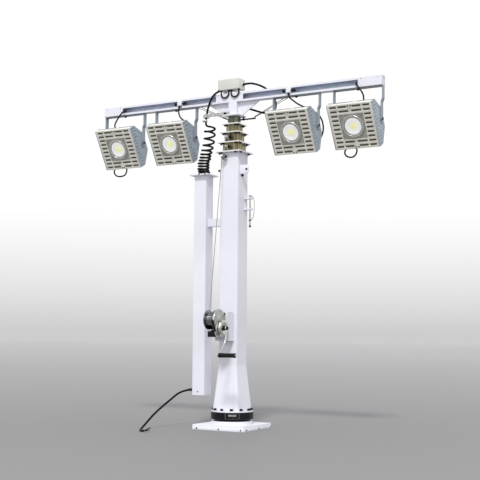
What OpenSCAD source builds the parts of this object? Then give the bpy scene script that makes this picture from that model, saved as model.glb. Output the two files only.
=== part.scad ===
// Telescopic light mast: slewing base, hand-winched square telescope,
// cross beam with four tilting floodlights, cable duct and coiled supply cord.
// Millimetres. +X runs along the beam, the lamps face -Y, +Z is up.
// The origin is the centre of the base plate's underside.

/* [Base] */
// Side of the square base plate
base_w = 370; // [320:10:440]
// Height of the base plate
base_h = 30; // [24:1:40]
// Height of the wider lower step of the base plate
base_step_h = 15; // [10:1:18]
// Radius of the base plate's upright corners
base_corner_r = 14; // [6:1:24]
// Radius of the round pedestal on the base plate
pedestal_r = 130; // [124:1:140]
// Height of the pedestal
pedestal_h = 20; // [12:1:30]

/* [Slewing ring] */
// Outer radius of the slewing ring
ring_r = 133; // [128:1:145]
// Height of the slewing ring
ring_h = 44; // [36:1:60]
// Radius of the ring's narrow lower race
race_r = 113; // [104:1:120]
// Height of the narrow lower race
race_h = 12; // [8:1:18]
// Radius of the hole that the spigot turns in
spigot_bore_r = 80; // [70:1:90]

/* [Column] */
// Side of the outer mast tube
column_w = 130; // [124:1:134]
// Wall of the outer mast tube
column_wall = 5; // [4:0.5:6]
// Height of the top of the outer tube's flange
column_top_z = 1743; // [1640:1:1760]
// Side of the foot at its flange
foot_w = 190; // [176:1:194]
// Height of the tapered foot
foot_h = 285; // [240:5:320]
// Thickness of the foot's round flange
foot_flange_t = 9; // [6:1:12]

/* [Telescope] */
// Side of each moving tube, outermost first
stage_w = [111, 96, 80, 60];
// Wall of the moving tubes
stage_wall = 3; // [2.5:0.5:4]
// Height of the top of each moving tube's flange
stage_top_z = [1804, 1869, 1925, 1975];
// Side of the square flanges: outer tube first, head plate last
flange_w = [181, 162, 141, 121, 112];
// Thickness of the square flanges
flange_t = 7; // [5:1:9]
// Height of the lower ends of the moving tubes
stage_foot_z = 405; // [300:5:420]

/* [Head] */
// Side of the square stub that carries the beam
stub_w = 60; // [50:1:66]
// Half length of the gusset plates at the beam
gusset_top = 190; // [150:5:220]
// Half length of the gusset plates at the head plate
gusset_foot = 63; // [50:1:80]
// Reach of the cable arm from the mast's axis
arm_reach = 212; // [206:1:225]
// Reach of the stay hook from the mast's axis
hook_reach = 130; // [110:1:150]

/* [Beam] */
// Length of the cross beam
beam_l = 2040; // [1990:10:2100]
// Height of the beam channel
beam_h = 60; // [54:1:64]
// Depth of the beam channel, front to back
beam_d = 50; // [44:1:56]
// Wall of the beam channel
beam_wall = 3; // [2:0.5:4]
// Height of the lips along the channel's open front
beam_lip = 13; // [8:1:13]
// Height of the beam's underside
beam_z = 2066; // [2058:1:2070]
// Length of the covers at the beam's ends
end_cover_l = 155; // [140:5:165]
// Length of the cover at the beam's middle
mid_cover_l = 200; // [180:5:240]

/* [Floodlights] */
// Distances of the outer and inner lamps from the mast's axis
lamp_x = [858, 444];
// Side of the square lamp
lamp_w = 282; // [260:2:290]
// Distance from the tilt axis forward to the lamp's face
lamp_face = 95; // [85:1:100]
// Distance from the tilt axis back to the lamp's rear
lamp_rear = 35; // [25:1:45]
// Height of the lamps' tilt axis
tilt_z = 1866; // [1850:1:1872]
// Angle of the lamps below the horizon as stored
lamp_tilt = 30; // [0:1:60]
// Radius of the glass lens
lens_r = 67; // [55:1:74]
// Width of the yokes' flat bar
yoke_bar_w = 30; // [24:1:40]
// Thickness of the yokes' flat bar
yoke_bar_t = 6; // [4:0.5:8]
// Radius of the tilt pins
tilt_pin_r = 6; // [4:0.5:8]

/* [Cable duct] */
// Side of the square cable duct
duct_w = 90; // [84:1:96]
// Wall of the cable duct
duct_wall = 2; // [1.5:0.5:3]
// Distance of the duct's axis from the mast's axis
duct_x = 226; // [218:1:232]
// Height of the duct's lower end
duct_foot_z = 200; // [160:5:260]
// Height of the top of the duct's flange
duct_top_z = 1612; // [1560:1:1640]
// Side of the flange at the duct's top
duct_flange_w = 140; // [120:1:150]

/* [Winch] */
// Distance of the drum's axis in front of the mast's axis
drum_y = 210; // [208:1:220]
// Height of the drum's axis
drum_z = 674; // [640:1:700]
// Radius of the drum's end discs
drum_disc_r = 61; // [50:1:62]
// Distance of the crank shaft below the drum's axis
crank_drop = 52; // [50:1:58]
// Length of the crank arm between its two pins
crank_l = 187; // [160:1:190]
// Angle of the crank arm forward of straight down
crank_angle = 30; // [0:1:60]
// Radius of the crank's grip
grip_r = 15; // [12:0.5:18]
// Length of the crank's grip
grip_l = 111; // [100:1:130]

/* [Cords] */
// Diameter of the supply cord
mains_d = 13; // [10:0.5:15]
// Outer diameter of the coiled cord's turns
coil_d = 80; // [70:1:82]
// Diameter of the coiled cord itself
coil_cord_d = 13; // [9:0.5:13.5]
// Diameter of the loops under the junction box
loop_d = 10; // [7:0.5:11]
// Diameter of the floodlight leads
lead_d = 10; // [7:0.5:11]
// Diameter of the stay wires
stay_d = 4; // [3:0.5:5]
// Diameter of the winch's wire rope
rope_d = 5; // [4:0.5:6]

/* [Hidden] */
$fn = 48;
EPS = 0.01;
RUN_CLEAR = 0.5;      // running gap of a turning joint
PIN_CLEAR = 0.06;     // radial gap between a pin and its hole
PEDESTAL_TOP = base_h + pedestal_h;
RING_TOP = PEDESTAL_TOP + ring_h + race_h;
FOOT_Z = RING_TOP + RUN_CLEAR;
COLUMN_Z = FOOT_Z + foot_h;
COLUMN_IN = column_w - 2 * column_wall;
HEAD_TOP = stage_top_z[3];
BEAM_TOP = beam_z + beam_h;
LAMP_X = [-lamp_x[0], -lamp_x[1], lamp_x[1], lamp_x[0]];
SIDE_PLATE_T = 4;
SIDE_GAP = 1.5;       // gap between a lamp's side and the yoke arm
YOKE_IN = lamp_w / 2 + SIDE_PLATE_T + SIDE_GAP;
YOKE_JOGGLE = 9;
DUCT_FLANGE_T = 8;
WINCH_Y = 140;        // front face of the winch's bracket
CRANK_Z = drum_z - crank_drop;
CRANK_X = 73;
GRIP_Y = -drum_y - crank_l * sin(crank_angle);
GRIP_Z = CRANK_Z - crank_l * cos(crank_angle);
COVER_R = 65;
BRAKE_R = 54;
PULLEY_Y = column_w / 2 + 26;
PULLEY_Z = column_top_z - 40;
PULLEY_R = 20;
ROPE_X = -24;
DRUM_ROPE_R = 38;
LUG_Z = column_top_z - 120;
LUG_L = 61;
LUG_H = 56;
LUG_HOLE_R = 7;
LUG_Y = -38;
PIN_X = column_w / 2 + 34;
PIN_Y = 34;
PIN_PLATES = [column_top_z - 371, column_top_z - 302];
PIN_FOOT = column_top_z - 481;
PIN_TOP = column_top_z - 288;
LOCK_PIN_R = 6;
TEE_X = 401;
STAY_Y = 42;
STAY_TOP_Y = 20;
HOOK_Z = HEAD_TOP - 14;
GLAND_Z = 230;
GLAND_L = 22;
BOX_X = -25;
BOX_Z = 2147;
BOX_SIZE = [160, 80, 72];

// Routes of the cords, by hand, in millimetres
MAINS_PATH = [[-293.5, 0, 230], [-322.2, -5, 227.5], [-348.3, -19.4, 220.3], [-367, -41.3, 209.5],
              [-375.6, -67.6, 196.4], [-380, -104, 178.5], [-385, -143, 158.5], [-391, -188, 136],
              [-396, -240, 109], [-398, -295, 80], [-396, -345, 53], [-391, -391, 31],
              [-383, -433, 14.5], [-368, -468, 7], [-348, -490, 7], [-320, -504, 7]];
COIL_PATH = [[-186, 0, 1948], [-185, 0, 1900], [-187, 0, 1850], [-198, 0, 1795],
             [-216, 0, 1735], [-229, 0, 1690], [-231, 0, 1655], [-226, 0, 1620],
             [-226, 0, 1500], [-226, 0, 1000], [-226, 0, 260]];
ARM_LEAD_PATH = [[-111, -32, 2140.3], [-123, -34, 2133.8], [-135, -36.5, 2124], [-146, -38, 2111.5],
                 [-156, -38, 2096], [-164.5, -37.5, 2079], [-172.5, -36, 2060], [-181, -33, 2040],
                 [-190.5, -26.5, 2019], [-199.5, -18.5, 2001], [-206, -14, 1984], [-206.5, -14, 1970],
                 [-205, -17, 1957]];
// A loop under the junction box, from one gland to the next
BOX_LOOP = [[-28, 0, -0.5], [-28, -1, -10], [-26.5, -2.5, -22], [-21, -3.5, -32], [-12, -4.5, -39],
            [0, -5, -41.5], [12, -4.5, -39], [21, -3.5, -32], [26.5, -2.5, -22], [28, -1, -10],
            [28, 0, -0.5]];
BEAM_CABLE_PATH = [[70, 0, 2179], [90, 3, 2182], [118, 17, 2183], [157, 36, 2172], [200, 46, 2148],
                   [240, 50, 2112], [266, 52, 2064], [270, 53, 2024], [255, 54, 1998],
                   [222, 54, 1987], [180, 53, 1993], [130, 51, 2010], [85, 50, 2026], [50, 46, 2033],
                   [42, 42, 2035]];
LEAD_PATHS = [
    [[-850, -8, 2096], [-853, -34, 2090], [-862, -54, 2066], [-877, -66, 2034], [-894, -70, 2004],
     [-906, -58, 1982], [-914, -20, 1972], [-922, 26, 1956], [-934, 64, 1926], [-944, 84, 1880],
     [-958, 88, 1822], [-978, 84, 1762], [-997, 76, 1720], [-1000, 70, 1694], [-982, 64, 1672],
     [-952, 58, 1661], [-920, 52, 1659.5], [-896, 47, 1664], [-879, 41, 1675], [-869, 35, 1690],
     [-865, 30, 1705]],
    [[-403, -32, 2079.5], [-403, -36, 2066], [-400, -45, 2044], [-388, -56, 2016],
     [-371, -62, 1992], [-356, -48, 1976], [-346, -6, 1964], [-346, 36, 1944], [-357, 72, 1908],
     [-373, 100, 1860], [-392, 114, 1816], [-412, 102, 1786], [-425, 76, 1777], [-429, 56, 1777]],
    [[403, -32, 2079.5], [405, -36, 2066], [418, -47, 2046], [446, -58, 2024], [478, -64, 2000],
     [508, -56, 1982], [530, -20, 1972], [550, 20, 1960], [568, 58, 1942], [580, 84, 1904],
     [578, 102, 1858], [560, 112, 1816], [534, 106, 1786], [514, 78, 1777], [510, 56, 1777]],
    [[850, -8, 2096], [856, -33, 2090], [871, -52, 2070], [890, -62, 2048], [908, -67, 2024],
     [918, -66, 1999], [913, -52, 1978], [898, -16, 1966], [879, 20, 1952], [857, 56, 1928],
     [834, 82, 1882], [807, 88, 1822], [774, 84, 1764], [744, 78, 1720], [736, 72, 1694],
     [750, 65, 1672], [776, 58, 1661], [802, 51, 1661], [822, 42, 1673], [832, 34, 1689],
     [834, 30, 1703]]];
LOOP_X = [BOX_X - 30, BOX_X + 44];
LOOP_Y = -30;

// ---------- shared shapes ----------

// A square with true round corners
module round_square(w, r) {
    square([w, w - 2 * r], center = true);
    square([w - 2 * r, w], center = true);
    for (x = [-1, 1], y = [-1, 1])
        translate([x * (w / 2 - r), y * (w / 2 - r)]) circle(r);
}

// A square tube with round corners, standing from z0 to z1
module square_tube(w, wall, r, z0, z1) {
    translate([0, 0, z0]) linear_extrude(z1 - z0) difference() {
        round_square(w, r);
        round_square(w - 2 * wall, max(r - wall, 1));
    }
}

// A square flange around a tube, its top at z1
module square_flange(w, hole_w, z1) {
    translate([0, 0, z1 - flange_t]) linear_extrude(flange_t) difference() {
        round_square(w, 10);
        square(hole_w, center = true);
    }
}

// A cylinder along X from x0 to x1
module rod_x(r, x0, x1, y = 0, z = 0) {
    translate([x0, y, z]) rotate([0, 90, 0]) cylinder(r = r, h = x1 - x0);
}

// A box given by its two opposite corners
module span(lo, hi) {
    translate(lo) cube(hi - lo);
}

function unit(v) = v / norm(v);
function path_dir(p, i) =
    unit(i == 0 ? p[1] - p[0] : i == len(p) - 1 ? p[i] - p[i - 1]
         : unit(p[i + 1] - p[i]) + unit(p[i] - p[i - 1]));

// v without its share along the unit vector t
function square_to(v, t) = unit(v - (v * t) * t);

// A direction square to the path at each point, carried along without a twist
function path_sides(p) = [
    for (i = 0, s = square_to([0.3, 0.9, 0.2], path_dir(p, 0)); i < len(p);
         i = i + 1, s = i < len(p) ? square_to(s, path_dir(p, i)) : s) s];

// Smooth curve through the points p, with n steps between neighbours
function spline_at(a, b, c, d, t) =
    0.5 * ((2 * b) + (c - a) * t + (2 * a - 5 * b + 4 * c - d) * t * t
           + (3 * b - 3 * c + d - a) * t * t * t);
function smooth(p, n) = [
    for (i = [0 : len(p) - 2], k = [0 : n - 1])
        spline_at(p[max(i - 1, 0)], p[i], p[i + 1], p[min(i + 2, len(p) - 1)], k / n),
    p[len(p) - 1]];

// One closed tube of diameter d along the points p
module cord_tube(p, d, sides = 10) {
    side = path_sides(p);
    points = [for (i = [0 : len(p) - 1], k = [0 : sides - 1])
        let (t = path_dir(p, i), a = 360 * k / sides)
        p[i] + d / 2 * (cos(a) * side[i] + sin(a) * cross(t, side[i]))];
    faces = concat(
        [[for (k = [0 : sides - 1]) k]],
        [[for (k = [0 : sides - 1]) len(p) * sides - 1 - k]],
        [for (i = [0 : len(p) - 2], k = [0 : sides - 1])
            let (a = i * sides, b = a + sides, m = (k + 1) % sides)
            [a + k, b + k, b + m, a + m]]);
    polyhedron(points, faces);
}

// ---------- base ----------

module base_plate() {
    color("white") {
        linear_extrude(base_step_h) round_square(base_w, base_corner_r);
        translate([0, 0, base_step_h - EPS])
            linear_extrude(base_h - base_step_h + EPS) round_square(base_w - 4, base_corner_r - 2);
        translate([0, 0, base_h - EPS]) cylinder(r = pedestal_r, h = pedestal_h + EPS, $fn = 96);
    }
}

module slew_ring() {
    color("black") translate([0, 0, PEDESTAL_TOP]) difference() {
        union() {
            cylinder(r = race_r, h = race_h + EPS, $fn = 96);
            translate([0, 0, race_h]) cylinder(r = ring_r, h = ring_h, $fn = 96);
        }
        translate([0, 0, 10]) cylinder(r = spigot_bore_r, h = race_h + ring_h, $fn = 96);
    }
}

// ---------- column ----------

module mast_foot() {
    color("white") difference() {
        union() {
            translate([0, 0, FOOT_Z]) cylinder(r = ring_r + 1, h = foot_flange_t, $fn = 96);
            translate([0, 0, FOOT_Z - 30]) cylinder(r = spigot_bore_r - RUN_CLEAR, h = 31, $fn = 96);
            hull() {
                translate([0, 0, FOOT_Z + foot_flange_t - EPS])
                    linear_extrude(1) round_square(foot_w, 24, $fn = 32);
                translate([0, 0, COLUMN_Z - 1]) linear_extrude(1) round_square(column_w, 8, $fn = 32);
            }
        }
        translate([0, 0, FOOT_Z + foot_flange_t + 6])
            linear_extrude(foot_h) square(COLUMN_IN, center = true);
    }
}

module outer_tube() {
    color("white") {
        square_tube(column_w, column_wall, 8, COLUMN_Z, column_top_z);
        square_flange(flange_w[0], COLUMN_IN, column_top_z);
    }
}

module cable_duct() {
    color("white") translate([-duct_x, 0, 0]) difference() {
        union() {
            square_tube(duct_w, duct_wall, 4, duct_foot_z, duct_top_z);
            translate([0, 0, duct_foot_z]) linear_extrude(3) round_square(duct_w, 4);
            translate([0, 0, duct_top_z - DUCT_FLANGE_T]) linear_extrude(DUCT_FLANGE_T) difference() {
                round_square(duct_flange_w, 8);
                square(duct_w - 2 * duct_wall, center = true);
            }
        }
        rod_x(8, -duct_w, 0, 0, GLAND_Z);
    }
}

module duct_bracket() {
    color("white") span([-duct_x + duct_w / 2, -20, 1272], [-column_w / 2, 20, 1322]);
}

module mains_gland() {
    color("black") {
        rod_x(11, -duct_x - duct_w / 2 - GLAND_L, -duct_x - duct_w / 2, 0, GLAND_Z);
        rod_x(8, -duct_x - duct_w / 2 - 1, -duct_x - duct_w / 2 + 12, 0, GLAND_Z);
    }
}

module mains_cable() {
    color("black") cord_tube(smooth(MAINS_PATH, 2), mains_d);
}

// ---------- winch ----------

module winch_bracket() {
    color("white") difference() {
        span([-45, -WINCH_Y, 545], [45, -column_w / 2, 722]);
        span([-40, -WINCH_Y + 5, 535], [40, -column_w / 2 + EPS, 732]);
    }
}

// A plate square to X from x0 to x1, drawn over the discs [y, z, radius] and back to the wall plate
module winch_plate(x0, x1, discs) {
    hull() {
        for (c = discs) rod_x(c[2], x0, x1, -c[0], c[1]);
        span([x0, -WINCH_Y - 4, 594], [x1, -WINCH_Y - 3, 714]);
    }
}

module winch_frame() {
    color("dimgray") difference() {
        union() {
            span([-64, -WINCH_Y - 4, 590], [25, -WINCH_Y, 718]);
            span([-60, -drum_y + 4, 568], [11, -WINCH_Y - 1, 604]);
            winch_plate(-64, -59, [[drum_y, drum_z, 22]]);
            winch_plate(10, 15, [[drum_y, drum_z, 22], [drum_y, CRANK_Z, 22]]);
            hull() {
                rod_x(COVER_R, 15 - EPS, 25, -drum_y, drum_z);
                rod_x(COVER_R * 0.6, 15 - EPS, 25, -drum_y, CRANK_Z - 16);
            }
        }
        rod_x(8 + PIN_CLEAR, -70, 30, -drum_y, drum_z);
        rod_x(8 + PIN_CLEAR, 0, 30, -drum_y, CRANK_Z);
    }
}

module winch_drum() {
    color("black") {
        rod_x(8, -68, 26, -drum_y, drum_z);
        rod_x(DRUM_ROPE_R, -50, 2, -drum_y, drum_z);
        rod_x(drum_disc_r, -54, -50, -drum_y, drum_z);
        rod_x(drum_disc_r, 1, 5, -drum_y, drum_z);
    }
}

module crank() {
    color("silver") {
        rod_x(8, 10.5, CRANK_X + 14, -drum_y, CRANK_Z);
        rod_x(BRAKE_R, 31, 42, -drum_y, CRANK_Z);
        rod_x(BRAKE_R - 12, 42 - EPS, 46, -drum_y, CRANK_Z);
        rod_x(BRAKE_R - 2, 46 - EPS, 62, -drum_y, CRANK_Z);
        rod_x(15, CRANK_X - 8, CRANK_X + 10, -drum_y, CRANK_Z);
        translate([CRANK_X, -drum_y, CRANK_Z]) rotate([-crank_angle, 0, 0])
            span([0, -10, -crank_l], [7, 10, 0]);
        rod_x(13, CRANK_X - 1, CRANK_X + 8, GRIP_Y, GRIP_Z);
        rod_x(6, CRANK_X + 2, CRANK_X + 12 + grip_l + 8, GRIP_Y, GRIP_Z);
    }
}

module crank_grip() {
    color("black") difference() {
        rod_x(grip_r, CRANK_X + 10, CRANK_X + 10 + grip_l, GRIP_Y, GRIP_Z);
        rod_x(6 + PIN_CLEAR, CRANK_X, CRANK_X + 20 + grip_l, GRIP_Y, GRIP_Z);
    }
}

module winch_rope() {
    color("dimgray") cord_tube([[ROPE_X, -PULLEY_Y - PULLEY_R - rope_d / 2, PULLEY_Z],
                                [ROPE_X, -drum_y - DRUM_ROPE_R - rope_d / 2 - 0.5, drum_z]], rope_d);
}

module rope_pulley() {
    color("silver") {
        for (x = [ROPE_X - 12, ROPE_X + 8])
            span([x, -PULLEY_Y - 12, PULLEY_Z - 14], [x + 4, -column_w / 2, PULLEY_Z + 14]);
        rod_x(PULLEY_R, ROPE_X - 6, ROPE_X + 6, -PULLEY_Y, PULLEY_Z);
        rod_x(5, ROPE_X - 15, ROPE_X + 15, -PULLEY_Y, PULLEY_Z);
    }
}

module guy_lug() {
    color("white") difference() {
        span([column_w / 2, LUG_Y - 4, LUG_Z - LUG_H / 2],
             [column_w / 2 + LUG_L, LUG_Y + 4, LUG_Z + LUG_H / 2]);
        translate([column_w / 2 + LUG_L - 13, LUG_Y, LUG_Z]) rotate([90, 0, 0])
            cylinder(r = LUG_HOLE_R, h = 20, center = true);
    }
}

module guide_bolts() {
    color("black") {
        rod_x(7, -column_w / 2 - 9, -column_w / 2, -38, column_top_z - 118);
        rod_x(7, column_w / 2, column_w / 2 + 9, -12, column_top_z - 153);
    }
}

module pin_holder() {
    color("silver") for (z = PIN_PLATES)
        difference() {
            span([column_w / 2, PIN_Y - 18, z], [PIN_X + 14, PIN_Y + 16, z + 8]);
            translate([PIN_X, PIN_Y, z - 1]) cylinder(r = LOCK_PIN_R + PIN_CLEAR, h = 10);
        }
}

module lock_pin() {
    color("silver") translate([PIN_X, PIN_Y, 0]) {
        translate([0, 0, PIN_FOOT]) cylinder(r = LOCK_PIN_R, h = PIN_TOP - PIN_FOOT);
        translate([0, 0, PIN_TOP - EPS]) cylinder(r = 10, h = 12);
    }
}

// ---------- telescope ----------

// Moving tube number k, 0 being the outermost
module stage(k) {
    square_tube(stage_w[k], stage_wall, 6, stage_foot_z, stage_top_z[k]);
    if (k < 3) square_flange(flange_w[k + 1], stage_w[k] - 2 * stage_wall, stage_top_z[k]);
}

// ---------- head and beam ----------

module head_bracket() {
    color("white") {
        translate([0, 0, HEAD_TOP]) linear_extrude(8) round_square(flange_w[4], 8);
        translate([0, 0, HEAD_TOP + 8 - EPS])
            linear_extrude(beam_z - HEAD_TOP - 8 + EPS) round_square(stub_w, 4);
        translate([0, 4, 0]) rotate([90, 0, 0]) linear_extrude(8)
            polygon([[-gusset_foot, HEAD_TOP + 8], [gusset_foot, HEAD_TOP + 8],
                     [gusset_top, beam_z], [-gusset_top, beam_z]]);
    }
}

module cable_arm() {
    color("silver") {
        span([-arm_reach, -34, HEAD_TOP + 8], [-20, -30 + EPS, HEAD_TOP + 30]);
        difference() {
            span([-arm_reach - 10, -30, HEAD_TOP + 8], [-arm_reach + 22, 4, HEAD_TOP + 12]);
            translate([-206, -14, HEAD_TOP]) cylinder(r = coil_cord_d / 2 + 2, h = 20);
        }
    }
}

module stay_hook() {
    color("dimgray") {
        rod_x(5, -74, hook_reach, STAY_Y, HOOK_Z);
        for (x = [-46, 38]) span([x, STAY_Y - 6, HOOK_Z - 6], [x + 8, STAY_Y + 6, HEAD_TOP]);
    }
}

// Two wires on each side, from the hook rod up to the beam's underside
module stay_wires() {
    ends = [[hook_reach - 6, 376], [hook_reach - 14, 346], [-70, -285], [-62, -258]];
    color("silver") for (e = ends)
        cord_tube([[e[0], STAY_Y, HOOK_Z + 7.2], [e[1], STAY_TOP_Y, beam_z - 2]], stay_d, 8);
}

module cross_beam() {
    color("white") difference() {
        span([-beam_l / 2, -beam_d / 2, beam_z], [beam_l / 2, beam_d / 2, BEAM_TOP]);
        span([-beam_l / 2 + beam_wall, -beam_d / 2 + beam_wall, beam_z + beam_wall],
             [beam_l / 2 - beam_wall, beam_d / 2 - beam_wall, BEAM_TOP - beam_wall]);
        span([-beam_l / 2 + beam_wall, -beam_d / 2 - 1, beam_z + beam_lip],
             [beam_l / 2 - beam_wall, 0, BEAM_TOP - beam_lip]);
    }
}

module beam_cover(x0, x1) {
    color("white") span([x0, -beam_d / 2 - 2, beam_z + 1], [x1, -beam_d / 2, BEAM_TOP - 1]);
}

module box_bracket() {
    color("white") for (x = [-50, 42])
        span([BOX_X + x, -20, BEAM_TOP], [BOX_X + x + 8, 20, BOX_Z]);
}

module junction_box() {
    color("lightgray") translate([BOX_X, 0, BOX_Z]) {
        translate([-BOX_SIZE[0] / 2, -BOX_SIZE[1] / 2, 0]) cube(BOX_SIZE);
        translate([-BOX_SIZE[0] / 2 + 9, -32, 0.5]) rotate([0, -115.5, 0]) cylinder(r = 7.5, h = 15.5);
        for (x = LOOP_X, s = [-28, 28])
            translate([x - BOX_X + s, LOOP_Y, -8]) cylinder(r = 7, h = 9);
        rod_x(9, BOX_SIZE[0] / 2 - 1, BOX_SIZE[0] / 2 + 14, 0, 32);
    }
}

// Tee connectors on the channel's open front, one beside each inner lamp
module tee_blocks() {
    color("white") for (side = [-1, 1])
        translate([side * TEE_X, 0, beam_z + beam_h / 2]) {
            span([-16, -38, -16], [16, -4, 16]);
            rod_x(8, -34, 34, -22, 0);
        }
}

module arm_lead() {
    color("black") cord_tube(ARM_LEAD_PATH, coil_cord_d, 8);
}

// A loop that hangs under the junction box, its middle at x
module box_loop(x) {
    color("black") translate([x, LOOP_Y, BOX_Z - 8]) cord_tube(BOX_LOOP, loop_d, 8);
}

module beam_cable() {
    color("black") cord_tube(BEAM_CABLE_PATH, coil_cord_d, 8);
}

module lamp_lead(n) {
    color("black") cord_tube(LEAD_PATHS[n], lead_d, 8);
}

module coil_cable() {
    color("black") cord_tube(smooth(COIL_PATH, 2), coil_d, 12);
}

// ---------- floodlights ----------

module yoke(n) {
    arm_top = tilt_z + 120;
    color("slategray") translate([LAMP_X[n], 0, 0]) difference() {
        union() {
            span([-YOKE_IN - YOKE_JOGGLE - yoke_bar_t, -yoke_bar_w / 2, beam_z - yoke_bar_t],
                 [YOKE_IN + YOKE_JOGGLE + yoke_bar_t, yoke_bar_w / 2, beam_z]);
            for (s = [-1, 1]) {
                span([min(s * (YOKE_IN + YOKE_JOGGLE), s * (YOKE_IN + YOKE_JOGGLE + yoke_bar_t)),
                      -yoke_bar_w / 2, arm_top],
                     [max(s * (YOKE_IN + YOKE_JOGGLE), s * (YOKE_IN + YOKE_JOGGLE + yoke_bar_t)),
                      yoke_bar_w / 2, beam_z]);
                rotate([90, 0, 0]) linear_extrude(yoke_bar_w, center = true)
                    polygon([[s * YOKE_IN, arm_top - 16], [s * (YOKE_IN + yoke_bar_t), arm_top - 20],
                             [s * (YOKE_IN + YOKE_JOGGLE + yoke_bar_t), arm_top + EPS],
                             [s * (YOKE_IN + YOKE_JOGGLE), arm_top + 4]]);
                span([min(s * YOKE_IN, s * (YOKE_IN + yoke_bar_t)), -yoke_bar_w / 2, tilt_z],
                     [max(s * YOKE_IN, s * (YOKE_IN + yoke_bar_t)), yoke_bar_w / 2, arm_top - 16]);
                rod_x(yoke_bar_w / 2, min(s * YOKE_IN, s * (YOKE_IN + yoke_bar_t)),
                      max(s * YOKE_IN, s * (YOKE_IN + yoke_bar_t)), 0, tilt_z);
            }
        }
        rod_x(tilt_pin_r + PIN_CLEAR, -YOKE_IN - 20, YOKE_IN + 20, 0, tilt_z);
    }
}

// Places a lamp's own frame (tilt axis at its origin, face along -Y) at lamp n
module at_lamp(n) {
    translate([LAMP_X[n], 0, tilt_z]) rotate([lamp_tilt, 0, 0]) children();
}

module lamp(n) {
    half = lamp_w / 2;
    color("darkgray") at_lamp(n) {
        rotate([90, 0, 90]) linear_extrude(lamp_w + 2 * SIDE_PLATE_T, center = true)
            polygon([[-lamp_face + 6, -half], [-lamp_face, -half + 6], [-lamp_face, half - 6],
                     [-lamp_face + 6, half], [-lamp_face + 52, half], [lamp_rear, half * 0.42],
                     [lamp_rear, -half * 0.42], [-lamp_face + 52, -half]]);
        rod_x(tilt_pin_r, -YOKE_IN - yoke_bar_t - 6, YOKE_IN + yoke_bar_t + 6);
    }
}

module lens(n) {
    dome_h = 22;
    sphere_r = (lens_r * lens_r + dome_h * dome_h) / (2 * dome_h);
    color("lightyellow") at_lamp(n) translate([0, -lamp_face, 0]) rotate([90, 0, 0])
        intersection() {
            translate([0, 0, dome_h - sphere_r]) sphere(sphere_r, $fn = 96);
            cylinder(r = lens_r, h = dome_h + 1, $fn = 96);
        }
}

base_plate();
slew_ring();
mast_foot();
outer_tube();
cable_duct();
duct_bracket();
mains_gland();
mains_cable();
winch_bracket();
winch_frame();
winch_rope();
rope_pulley();
guy_lug();
guide_bolts();
pin_holder();
winch_drum();
crank();
crank_grip();
lock_pin();
for (k = [0 : 3])
    color("tan") stage(k);
head_bracket();
cable_arm();
stay_hook();
stay_wires();
cross_beam();
beam_cover(-beam_l / 2, -beam_l / 2 + end_cover_l);  // beam_cover_left
beam_cover(BOX_X - mid_cover_l / 2, BOX_X + mid_cover_l / 2);  // beam_cover_middle
beam_cover(beam_l / 2 - end_cover_l, beam_l / 2);  // beam_cover_right
box_bracket();
junction_box();
coil_cable();
tee_blocks();
arm_lead();
box_loop(LOOP_X[0]);  // box_loop_left
box_loop(LOOP_X[1]);  // box_loop_right
beam_cable();
for (n = [0 : 3]) {
    lamp_lead(n);
    yoke(n);
    lamp(n);
    lens(n);
}
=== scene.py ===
"""Telescopic light mast: the finished look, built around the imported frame.

Metres throughout. +X runs along the beam, the floodlights face -Y, +Z is up.
"""
import math

import bmesh
import bpy
from mathutils import Matrix, Vector


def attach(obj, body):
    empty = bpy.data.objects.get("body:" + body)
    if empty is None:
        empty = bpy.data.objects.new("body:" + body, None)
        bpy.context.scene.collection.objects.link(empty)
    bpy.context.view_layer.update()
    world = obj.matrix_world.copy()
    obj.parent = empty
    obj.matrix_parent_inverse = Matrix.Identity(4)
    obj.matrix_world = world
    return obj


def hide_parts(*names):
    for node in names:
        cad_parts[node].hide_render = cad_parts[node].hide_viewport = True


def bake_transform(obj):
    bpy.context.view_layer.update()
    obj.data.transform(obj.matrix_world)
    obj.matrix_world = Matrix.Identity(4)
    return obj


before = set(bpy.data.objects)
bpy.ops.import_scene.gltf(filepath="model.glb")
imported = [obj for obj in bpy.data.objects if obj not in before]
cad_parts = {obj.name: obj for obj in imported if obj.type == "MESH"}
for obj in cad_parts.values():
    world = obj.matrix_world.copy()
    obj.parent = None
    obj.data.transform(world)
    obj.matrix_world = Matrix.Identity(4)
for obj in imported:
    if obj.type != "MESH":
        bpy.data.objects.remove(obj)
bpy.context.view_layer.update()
bpy.ops.object.select_all(action="DESELECT")


# ---------- camera ----------
# The focal length, the horizon's height and the mast's place are in the units of the frame's width.
FRAME_W = 480
AZIMUTH = math.radians(30)
DISTANCE = 6.5
CAMERA_HEIGHT = 0.6
ROLL = math.radians(0.45)
FOCAL = 1028
HORIZON_Y = 332
AXIS_X = 233.6


def aim_camera():
    """One camera on the mast's right front, looking slightly up."""
    data = bpy.data.cameras.new("camera")
    camera = bpy.data.objects.new("camera", data)
    bpy.context.scene.collection.objects.link(camera)
    data.sensor_width = 36
    data.lens = FOCAL * data.sensor_width / FRAME_W
    place = Vector((DISTANCE * math.sin(AZIMUTH), -DISTANCE * math.cos(AZIMUTH), CAMERA_HEIGHT))
    yaw = AZIMUTH - math.atan((FRAME_W / 2 - AXIS_X) / FOCAL)
    pitch = math.radians(90) + math.atan((HORIZON_Y - FRAME_W / 2) / FOCAL)
    turn = Matrix.Rotation(yaw, 4, "Z") @ Matrix.Rotation(pitch, 4, "X") @ Matrix.Rotation(ROLL, 4, "Z")
    camera.matrix_world = Matrix.Translation(place) @ turn
    bpy.context.scene.camera = camera


aim_camera()


# ---------- directions and places ----------
UP, DOWN, FRONT, AXLE = (0, 0, 1), (0, 0, -1), (0, -1, 0), (1, 0, 0)
FOOT = (0, 0, 0)
CHANNEL_Z = 2.096
DUCT_GLAND_Z = 0.23


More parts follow.
